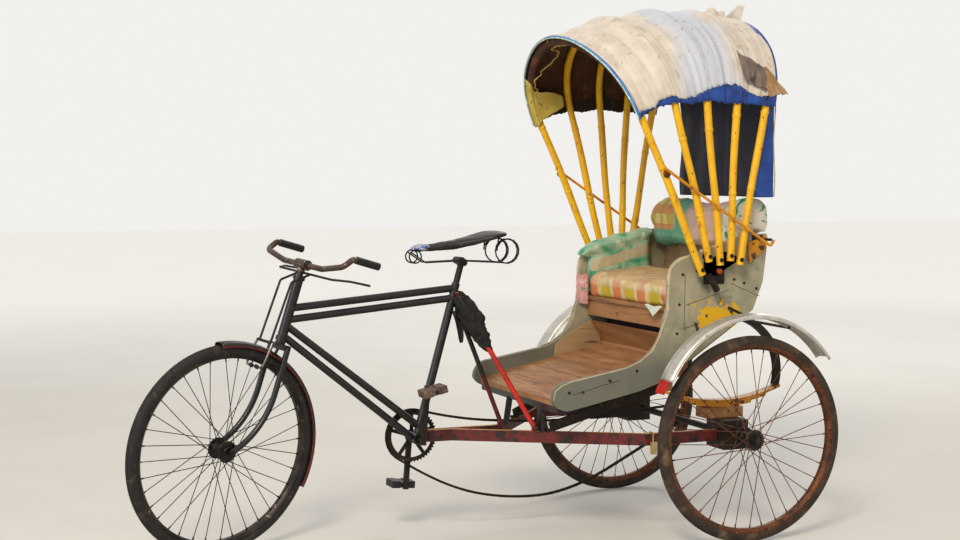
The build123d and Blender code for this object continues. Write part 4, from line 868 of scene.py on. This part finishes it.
# Loose torn flaps of canvas at the top and the near rear corner: corners, rise, seed, material and body
FLAPS = (
    ("flap_top_front", [(60, 70, 1822), (-60, 96, 1824), (60, 160, 1838), (-40, 175, 1836)], 42, 4.2, "canvas", None),
    ("flap_top_rear", [(110, 184, 1806), (-60, 200, 1822), (80, 222, 1872), (-50, 266, 1886)], 16, 1.6, "canvas",
     "hood_arch_5"),
    ("flap_rear_corner", [(431, 60, 1640), (431, 104, 1626), (436, 112, 1527), (430, 190, 1536)], 6, 3.0,
     "canvas_tan", "hood_arch_5"),
    # This grey flap is painted shade: the shadowed gap under the folded corner.
    ("flap_rear_shade", [(434, -22, 1684), (432, 100, 1620), (437, 14, 1584), (434, 100, 1541)], 4, 5.0,
     "canvas_shade", "hood_arch_5"),
)
for name, corners, rise, seed, finish, body in FLAPS:
    first, second, third, fourth = (Vector(corner) for corner in corners)

    def flap(u, v):
        """A point of a four-cornered flap that curls up in its middle."""
        spot = first.lerp(second, u).lerp(third.lerp(fourth, u), v)
        lift = rise * sin(pi * u) * sin(pi * min(v, 0.8))
        rag = 5 * rough_at(u * 3 + seed, v * 3, seed) + 9 * v * rough_at(u * 6, seed, 2)
        return spot + Vector((rag, rag * 0.6, lift + rag))

    length = max((first - second).length, (third - fourth).length) / 1000
    made = cloth(name, 24, 24, flap, finish, body, "hood_cloth")
    if not body:
        bend(made)


# Padded seat pieces: the solid's shape rounded, blown up by cloth pressure and creased
def start_pad(name, node, inset, origin, form):
    """A remeshed and rounded copy of a soft solid, a little smaller, with its points moved by form."""
    shape = bmesh.new()
    shape.from_mesh(nodes[node].data)
    bmesh.ops.remove_doubles(shape, verts=shape.verts, dist=1e-5)
    low, high = (Vector(corner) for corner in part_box(node))
    middle, size = (low + high) / 2, high - low
    shrink = Vector([1 - 2 * inset / side for side in size])
    turned = Matrix.Translation(middle) @ Matrix.Diagonal(shrink).to_4x4() @ Matrix.Translation(-middle)
    bmesh.ops.transform(shape, matrix=turned, verts=shape.verts)
    made = new_object(name, shape)
    remesh = made.modifiers.new("remesh", "REMESH")
    remesh.mode, remesh.voxel_size = "VOXEL", 0.0055
    made.data = bpy.data.meshes.new_from_object(made.evaluated_get(bpy.context.evaluated_depsgraph_get()))
    made.modifiers.clear()
    shape = bmesh.new()
    shape.from_mesh(made.data)
    for _ in range(9):
        bmesh.ops.smooth_vert(shape, verts=shape.verts, factor=0.5, use_axis_x=True, use_axis_y=True, use_axis_z=True)
    for vert in shape.verts:
        vert.co = origin + Vector(form(*((vert.co - origin) * 1000))) / 1000
    shape.to_mesh(made.data)
    shape.free()
    return made


def blow_up(pads):
    """Cloth pressure on all the pads at once, each point kept within its cap."""
    rest = {}
    for made, cap, _ in pads:
        rest[made] = [vert.co.copy() for vert in made.data.vertices]
        settings = made.modifiers.new("pressure", "CLOTH").settings
        settings.quality, settings.use_pressure, settings.uniform_pressure_force = 4, True, 4.0
        settings.effector_weights.gravity = 0.0
        settings.tension_stiffness = settings.compression_stiffness = 12
    for number in range(1, 21):
        bpy.context.scene.frame_set(number)
    depsgraph = bpy.context.evaluated_depsgraph_get()
    for made, cap, crease in pads:
        blown = made.evaluated_get(depsgraph).data
        moved = [vert.co.copy() for vert in blown.vertices]
        normals = [vert.normal.copy() for vert in blown.vertices]
        made.modifiers.clear()
        for vert, start, end, normal in zip(made.data.vertices, rest[made], moved, normals):
            step = end - start
            if step.length > cap:
                step *= cap / step.length
            vert.co = start + step + normal * crease(start)
        made.data.update()
        made.data.shade_smooth()
        smooth = made.modifiers.new("smooth", "SUBSURF")
        smooth.levels = smooth.render_levels = 1
    bpy.context.scene.frame_set(1)


def wrinkle(size, depth, seed, stretch=ROUND):
    """Depth of soft creases of a size in millimetres, at a point."""
    def crease(place):
        spot = Vector([value * 1000 / size / s for value, s in zip(place, stretch)])
        return depth / 1000 * (noise.noise(spot + Vector((seed, 0, 0))) + 0.5 * noise.noise(spot * 2.7))
    return crease


def cushion_form(x, y, z):
    """The seat cushion: hollow where people sit, longer towards its far end."""
    if z > 30:
        dip = exp(-((x - 20) / 210) ** 2 - ((y + 20) / 120) ** 2)
        z -= 9 * dip * (z - 30) / 70
    if x < -150:
        x -= 26 * (-x - 150) / 150
    return x, y, z


def backrest_form(x, y, z):
    """The backrest: a wavy roll, lower in the middle and at its far end."""
    if z > 0:
        z *= 1 - 0.10 * exp(-((x - 40) / 110) ** 2)
        if x < -250:
            z *= 1 - 0.3 * ((-x - 250) / 112) ** 2
    return x, y + 6 * sin(x / 70), z


def armrest_form(x, y, z):
    """The armrest: a roll along its top that ends lower at the front, thinner below."""
    top = 118 + 0.27 * (y + 90)
    roll = min(1.0, max(0.0, (z - top + 62) / 22))
    end = min(1.0, max(0.0, (-60 - y) / 80)) ** 2
    x = x * (0.8 + 0.85 * roll * (1 - 0.7 * end)) - 4 - 9 * roll
    z += (12 - 24 * end) * roll
    return x, y + (120 - y) * (0.06 * (1 - roll) - 0.13 * roll), z


# Name, node, inset in mm, middle, form, cap in metres, creases, material, fill and slot
PADS = (
    ("seat_cushion_padded", "seat_cushion", 2, at(26, -88, 797), cushion_form, 0.009, wrinkle(70, 3.5, 1),
     "cotton_check", 0.6, "seat_fabric"),
    ("backrest_padded", "backrest", 4, at(0, 110, 1060), backrest_form, 0.016, wrinkle(80, 7, 4, (0.8, 1, 1.6)),
     "cotton_patches", 0.7, "green_fabric"),
    ("armrest_padded", "armrest", 2, at(-311, -90, 900), armrest_form, 0.010, wrinkle(50, 4, 7),
     "cotton_green", 0.6, "green_fabric"),
)
pads = []
for name, node, inset, origin, form, cap, crease, finish, _, _ in PADS:
    made = start_pad(name, node, inset / 1000, origin, form)
    made.data.materials.clear()
    made.data.materials.append(M[finish])
    pads.append((made, cap, crease))
blow_up(pads)
for (made, *_), (_, node, *_, fill, slot_name) in zip(pads, PADS):
    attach(made, "chassis")
    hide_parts(node)


# Small cloth ends that hang out at the corners of the cushion and the armrest
def cushion_end(u, v):
    half = 62 * (1 - v) + 4
    return 236 + (u - 0.5) * 2 * half, -229 - 3 * sin(u * 7) * v, 800 - 36 * v + 3 * sin(u * 9)


def armrest_end(u, v):
    rag = 9 * rough_at(u * 3, v * 4, 6)
    return (-344 + (52 - 12 * v) * u + 5 * sin(v * 5) + rag, -247 - 6 * sin(u * 8 + v * 3) + 24 * u ** 2,
            880 - 104 * v - 14 * u * v + rag)


cloth("cushion_corner_cloth", 16, 10, cushion_end, "cloth_white_green", "chassis", "seat_fabric")
cloth("armrest_corner_cloth", 14, 20, armrest_end, "cloth_pink_green", "chassis", "green_fabric")

# Rusty brackets that hold the stay rods on the front arch
tubes("stay_brackets", mirrored([(x, -282, 1262) for x in (424, 429, 433)]), [14, 13, 9], 14,
      "rusty_plating", "hood_arch_1", "dark_steel", (), 40)

# Side panels: bound top edge, joints of the boards, nail heads, rear plates and nuts of the hood's pivots
OUTER_X = BODY_HALF + PANEL_WALL
BEAD_LINE = [(-238, 792), (-237.5, 850), (-236, 905), (-231, 932), (-212, 955), (-187, 969), (-158, 978), (-100, 998),
             (-40, 1015), (60, 1046)]
SEAMS = [(-174, 916, -178, 724), (-173, 808, -3, 858), (6, 880, 124, 832), (-178, 728, -118, 745),
         (-600, 520, -430, 560)]
NAILS = [(-184, 915), (-197, 812), (-205, 712), (20, 894), (100, 1010), (-615, 527), (-564, 526), (-463, 561),
         (-360, 590), (-120, 930), (60, 880), (110, 860), (-90, 770), (10, 780)]


def seam(y0, z0, y1, z1):
    """The slightly wavy joint between two boards."""
    return [(OUTER_X - 0.1, y0 + (y1 - y0) * step / 8, z0 + (z1 - z0) * step / 8 + 1.2 * sin(step * 1.7))
            for step in range(9)]


tubes("panel_edge_bead", mirrored([(OUTER_X - 4, y, z) for y, z in BEAD_LINE]), 5.2, 10,
      "bead_cream", "chassis", "grey_green_wood", (), 60)
tubes("panel_joints", mirrored(*[seam(*ends) for ends in SEAMS]), 1.0, 6,
      "joint_dark", "chassis", "grey_green_wood", (), 60)
tubes("panel_nail_heads", mirrored(*[[(OUTER_X + rise, y, z) for rise in (-2, 1.6, 3)] for y, z in NAILS]),
      [5.2, 5.2, 3.2], 12, "dark_plating", "chassis", "dark_steel", (), 50)
plates("panel_rear_plates", [(72, 1022), (150, 1045), (146, 1000), (76, 948)],
       [(side * (OUTER_X + 4.2), side * (OUTER_X + 6)) for side in (1, -1)],
       "yellow_steel", "chassis", "yellow_paint_steel", (), 50)
tubes("hood_pivot_nuts", mirrored([(OUTER_X + rise, HOOD_Y, HOOD_Z) for rise in (30, 44, 50)]), [11, 11, 6], 6,
      "orange_bolt", "chassis", "dark_steel", (), 30)

# Light board inside the far panel
plates("inner_board", [(-352, 553), (-345, 612), (-304, 647), (-194, 701), (-162, 640), (-152, 602), (-240, 580)],
       [(-337, -322)], "light_wood", "chassis", "bare_wood", (), 40, bevel=1.5)

# Brake stirrup: two arms beside the front tyre with rubber blocks inside the rim
STEER_AT = Matrix.Translation(joints["steering"]["pos_m"])
STEERED = STEER_AT @ STEER @ STEER_AT.inverted() @ BASE
tubes("brake_stirrup", mirrored([(43, -1573, 709), (46, -1584, 690), (46, -1600, 655), (45, -1612, 634),
                                 (38, -1615, 628), (22, -1615, 628)]),
      4.2, 10, "bright_steel", "steering", "bright_steel", (), 60, STEERED)
tubes("brake_blocks", mirrored([(24, -1615, 628), (9, -1615, 628)]), 8, 4,
      "grip_rubber", "steering", "grip_rubber", (), 30, STEERED)

# Roller chain: links with side plates along the run that hangs from chainwheel to sprocket
RING_AT, RING_R, SPROCKET_R, PITCH, CHAIN_X = (-1029.0, 345.0), 93.0, 40.5, 12.7, -50.0
UPPER_RUN = [(-900, 408), (-780, 388), (-690, 380), (-560, 370), (-420, 368), (-250, 381)]
LOWER_RUN = [(-160, 228), (-330, 142), (-486, 98), (-633, 98), (-773, 120), (-880, 156), (-981, 206)]
loop = circle_of(*RING_AT, RING_R, 40, -122, -163)
loop += UPPER_RUN + circle_of(0, WHEEL_R, SPROCKET_R, 18, 95, -157) + LOWER_RUN
for _ in range(2):
    loop = [(y0 * share + y1 * (1 - share), z0 * share + z1 * (1 - share))
            for (y0, z0), (y1, z1) in zip(loop, loop[1:] + loop[:1]) for share in (0.75, 0.25)]
steps = [dist(first, second) for first, second in zip(loop, loop[1:] + loop[:1])]
links = 2 * round(sum(steps) / PITCH / 2)
pins, walked, number = [], 0.0, 0
for link in range(links):
    goal = sum(steps) * link / links
    while walked + steps[number] < goal:
        walked += steps[number]
        number += 1
    part = (goal - walked) / steps[number]
    first, second = loop[number], loop[(number + 1) % len(loop)]
    pins.append((first[0] + (second[0] - first[0]) * part, first[1] + (second[1] - first[1]) * part))
shape = bmesh.new()
for number, (here, there) in enumerate(zip(pins, pins[1:] + pins[:1])):
    lead = degrees(atan2(there[1] - here[1], there[0] - here[0]))
    outline = circle_of(*here, 4.2, 4, lead + 100, 160) + circle_of(*there, 4.2, 4, lead - 80, 160)
    spread = 3.0 if number % 2 else 4.3
    for side in (1, -1):
        plate(shape, outline, CHAIN_X + side * spread, CHAIN_X + side * (spread + 1.0))
    tube(shape, [(CHAIN_X - 3, *here), (CHAIN_X + 3, *here)], 3.9, 6)
finish_piece("roller_chain", shape, "chain_steel", "chassis", "dark_steel", ["chain"], 30)

# Saddle leather as one rounded dished form on its coiled wire frame, with a scrap of cloth at the nose
SADDLE_TOP = [(-1026, 1014), (-965, 1022), (-888, 1033), (-822, 1046), (-775, 1058), (-742, 1064), (-700, 1066)]
SADDLE_HALF = [(-1026, 20), (-965, 22), (-888, 33), (-822, 66), (-775, 94), (-742, 99), (-700, 92)]
SADDLE_DEEP = [(-1026, 24), (-965, 28), (-888, 34), (-822, 33), (-742, 30), (-700, 27)]


def saddle(point):
    """A point of the leather: its top line, half width and depth are tables over y."""
    around = max(1e-6, hypot(point.x, point.y))
    swell = max(0.0, 1 - abs(point.z) ** 5) ** 0.45
    y = -863 + 163 * point.z
    across, rise = (copysign(abs(part / around) ** 0.65, part) for part in (point.x, point.y))
    half, deep = between(SADDLE_HALF, y) * swell, between(SADDLE_DEEP, y)
    worn = 1.2 * rough_at(across * 2, rise, y / 22)
    return (across * half, y,
            between(SADDLE_TOP, y) - deep / 2 + (deep / 2 - 3 * across ** 2) * rise * swell + worn)


def scrap(point):
    rag = 1 + 0.35 * noise.noise(point * 2.2)
    return point.x * 23 * rag, -1008 + point.y * 34 * rag, 1006 + point.z * 13 * rag


ball("saddle_leather", 48, 56, saddle, "leather", "chassis", "black_leather", ["saddle"], 180)
shape = bmesh.new()
nose = [(19, y, z) for y, z in circle_of(-1038, 977, 22, 30, 60, 435)]
tail = [(36 + 0.9 * step, y, z) for step, (y, z) in enumerate(circle_of(-708, 992, 43, 28, -110, 648))]
for points in mirrored([(17, -1000, 1006), *nose, (19, -1000, 956), (22, -868, 960), *tail, (61, -745, 1040),
                        (61, -760, 1044)]):
    tube(shape, points, 2.7, 10)
for half, y, z, radius, sides in ((19, -1038, 955, 2.7, 8), (31, -869, 960, 13, 18), (37, -869, 960, 7, 6)):
    tube(shape, [(-half, y, z), (half, y, z)], radius, sides)
finish_piece("saddle_wire_frame", shape, "dark_steel", "chassis", "dark_steel", ["saddle_springs"], 50)
ball("saddle_nose_scrap", 28, 18, scrap, "scrap_blue_white", "chassis", "rag_cloth", (), 180)

# Rag bundle wound round the struts, with its loose end, and the covers wound on the struts
RAG_TOP, RAG_LOW, ACROSS = Vector((2, -880, 852)), Vector((58, -776, 640)), Vector((1, 0, 0))
RAG_SIDE = (RAG_LOW - RAG_TOP).normalized().cross(ACROSS).normalized()


def wound_rag(point):
    """A point of the bundle, from its upper end to its lower one."""
    part = (1 - point.z) / 2
    around = max(1e-6, hypot(point.x, point.y))
    swell = max(0.0, 1 - abs(point.z) ** 5) ** 0.5
    wide, deep = 30 + 22 * part, 27 + 12 * sin(pi * min(1, part * 1.2)) - 10 * part
    spot = Vector((point.x / around * 1.6, point.y / around * 1.6, part * 6))
    fold = 1 + 0.3 * noise.noise(spot) + 0.24 * noise.noise(spot * 2.6) + 0.06 * sin(part * 60 + point.x * 3)
    return (RAG_TOP.lerp(RAG_LOW, part) + ACROSS * point.x / around * wide * swell * fold
            + RAG_SIDE * point.y / around * deep * swell * fold)


def loose_end(u, v):
    wide = 32 * (1 - v) ** 0.6 + 3
    return 22 + 10 * sin(u * 5 + v * 4), -888 + 20 * v + (u - 0.5) * wide, 786 - 116 * v + 8 * u


bundle = ball("rag_bundle_wound", 64, 48, wound_rag, "rag", "chassis", "rag_cloth", ["rag_bundle"], 180)
cloth("rag_loose_end", 14, 24, loose_end, "rag", "chassis", "rag_cloth")
NEAR_STRUT = Vector((24, -886, 846)), Vector((161, -651, 383))
FAR_STRUT = Vector((-24, -886, 846)), Vector((-16, -706, 383))
for label, (top, foot), finish, low, high, wraps in (("near", NEAR_STRUT, "red_tape", 0.40, 0.985, 0.9),
                                                     ("far", FAR_STRUT, "black_paint", 0.02, 0.62, 0.0),
                                                     ("near_top", NEAR_STRUT, "black_paint", 0.02, 0.42, 0.0)):
    tubes(f"strut_cover_{label}", [[top.lerp(foot, low + (high - low) * step / 70) for step in range(71)]],
          [8.7 + wraps * ((step * 0.37) % 1.0) for step in range(71)], 14, finish, "chassis", "red_paint", (), 60)

# Strip between floor and seat box, a dark plate as painted shade inside the seat box and worn pale front edges of the
# panels
EDGE_LINE = [(-672, 505), (-664, 535), (-640, 554), (-607, 564), (-500, 583), (-400, 601), (-345, 622), (-300, 655),
             (-270, 705), (-252, 757), (-240, 790)]
plates("floor_back_strip", [(-158, 607), (-134, 616), (-134, 628), (-148, 622)], [(2 - BODY_HALF, BODY_HALF - 2)],
       "bare_wood", "chassis", "bare_wood", (), 40)
# Painted shade: a dark plate inside the seat box
plates("seat_box_painted_shadow", [(-122, 640), (-116, 640), (-116, 770), (-122, 770)], [(6 - BODY_HALF, BODY_HALF - 6)],
       "joint_dark", "chassis", "bare_wood", (), 40)
tubes("panel_worn_edge", mirrored([(OUTER_X - 1.4, y, z - 0.6) for y, z in EDGE_LINE]), 2.2, 8,
      "bead_cream", "chassis", "grey_green_wood", (), 60)


# Stage: floor, world, lamps and camera
def stage_floor():
    plane = bmesh.new()
    bmesh.ops.create_grid(plane, x_segments=1, y_segments=1, size=30)
    floor = new_object("floor", plane)
    pale = surface("floor", "plaster_floor_pale", "CFCBC3", "CBC7BF", (), MATT, blotch=900)
    tree = pale.node_tree
    shader = tree.nodes["Principled BSDF"]
    seen = out(add(tree, "LightPath"), "Is Camera Ray")
    away = add(tree, "VectorMath", {"operation": "LENGTH"}, Vector=out(add(tree, "NewGeometry"), "Position"))
    glow = calc(tree, "ADD", 0.1, both(tree, band(tree, out(away, "Value"), 3.0, 12.0), 0.5))
    shader.inputs["Emission Color"].default_value = linear("F0EEEA")
    tree.links.new(both(tree, seen, glow), shader.inputs["Emission Strength"])
    floor.data.materials.append(pale)


stage_floor()
world = bpy.data.worlds.new("studio")
bpy.context.scene.world = world
world.use_nodes = True
sky = world.node_tree
rays = add(sky, "LightPath")
reflected = calc(sky, "MAXIMUM", out(rays, "Is Glossy Ray"), out(rays, "Is Transmission Ray"))
seen = calc(sky, "MAXIMUM", out(rays, "Is Camera Ray"), reflected)
background = sky.nodes["Background"]
background.inputs[0].default_value = linear("ECEBE8")
sky.links.new(calc(sky, "ADD", 0.55, both(sky, seen, 0.5)), background.inputs[1])
for name, place, aim, energy, size, warmth in (
    ("key", (6.0, -4.0, 6.5), (0, 0.3, 0.8), 520, 2.2, "FFF1DD"),
    ("fill", (3.0, -7.5, 3.0), (0, -0.2, 0.8), 160, 4.0, "EAF0FF"),
    ("back", (-5.0, 4.0, 5.0), (0, 0.3, 0.9), 180, 3.0, "FFFFFF"),
):
    lamp = bpy.data.lights.new(name, "AREA")
    lamp.energy, lamp.size, lamp.color = energy, size, linear(warmth)[:3]
    holder = new_object(name, lamp)
    holder.location = place
    holder.rotation_euler = (Vector(aim) - Vector(place)).to_track_quat("-Z", "Y").to_euler()

camera = bpy.data.cameras.new("camera")
camera.lens, camera.sensor_width = 60.78, 36.0
viewer = new_object("camera", camera)
viewer.location = at(5259.9, -2933.3, 1267.1)
viewer.rotation_euler = Vector((-0.92439, 0.37668, -0.06017)).to_track_quat("-Z", "Y").to_euler()
bpy.context.scene.camera = viewer
bpy.context.scene.view_settings.view_transform = "Standard"
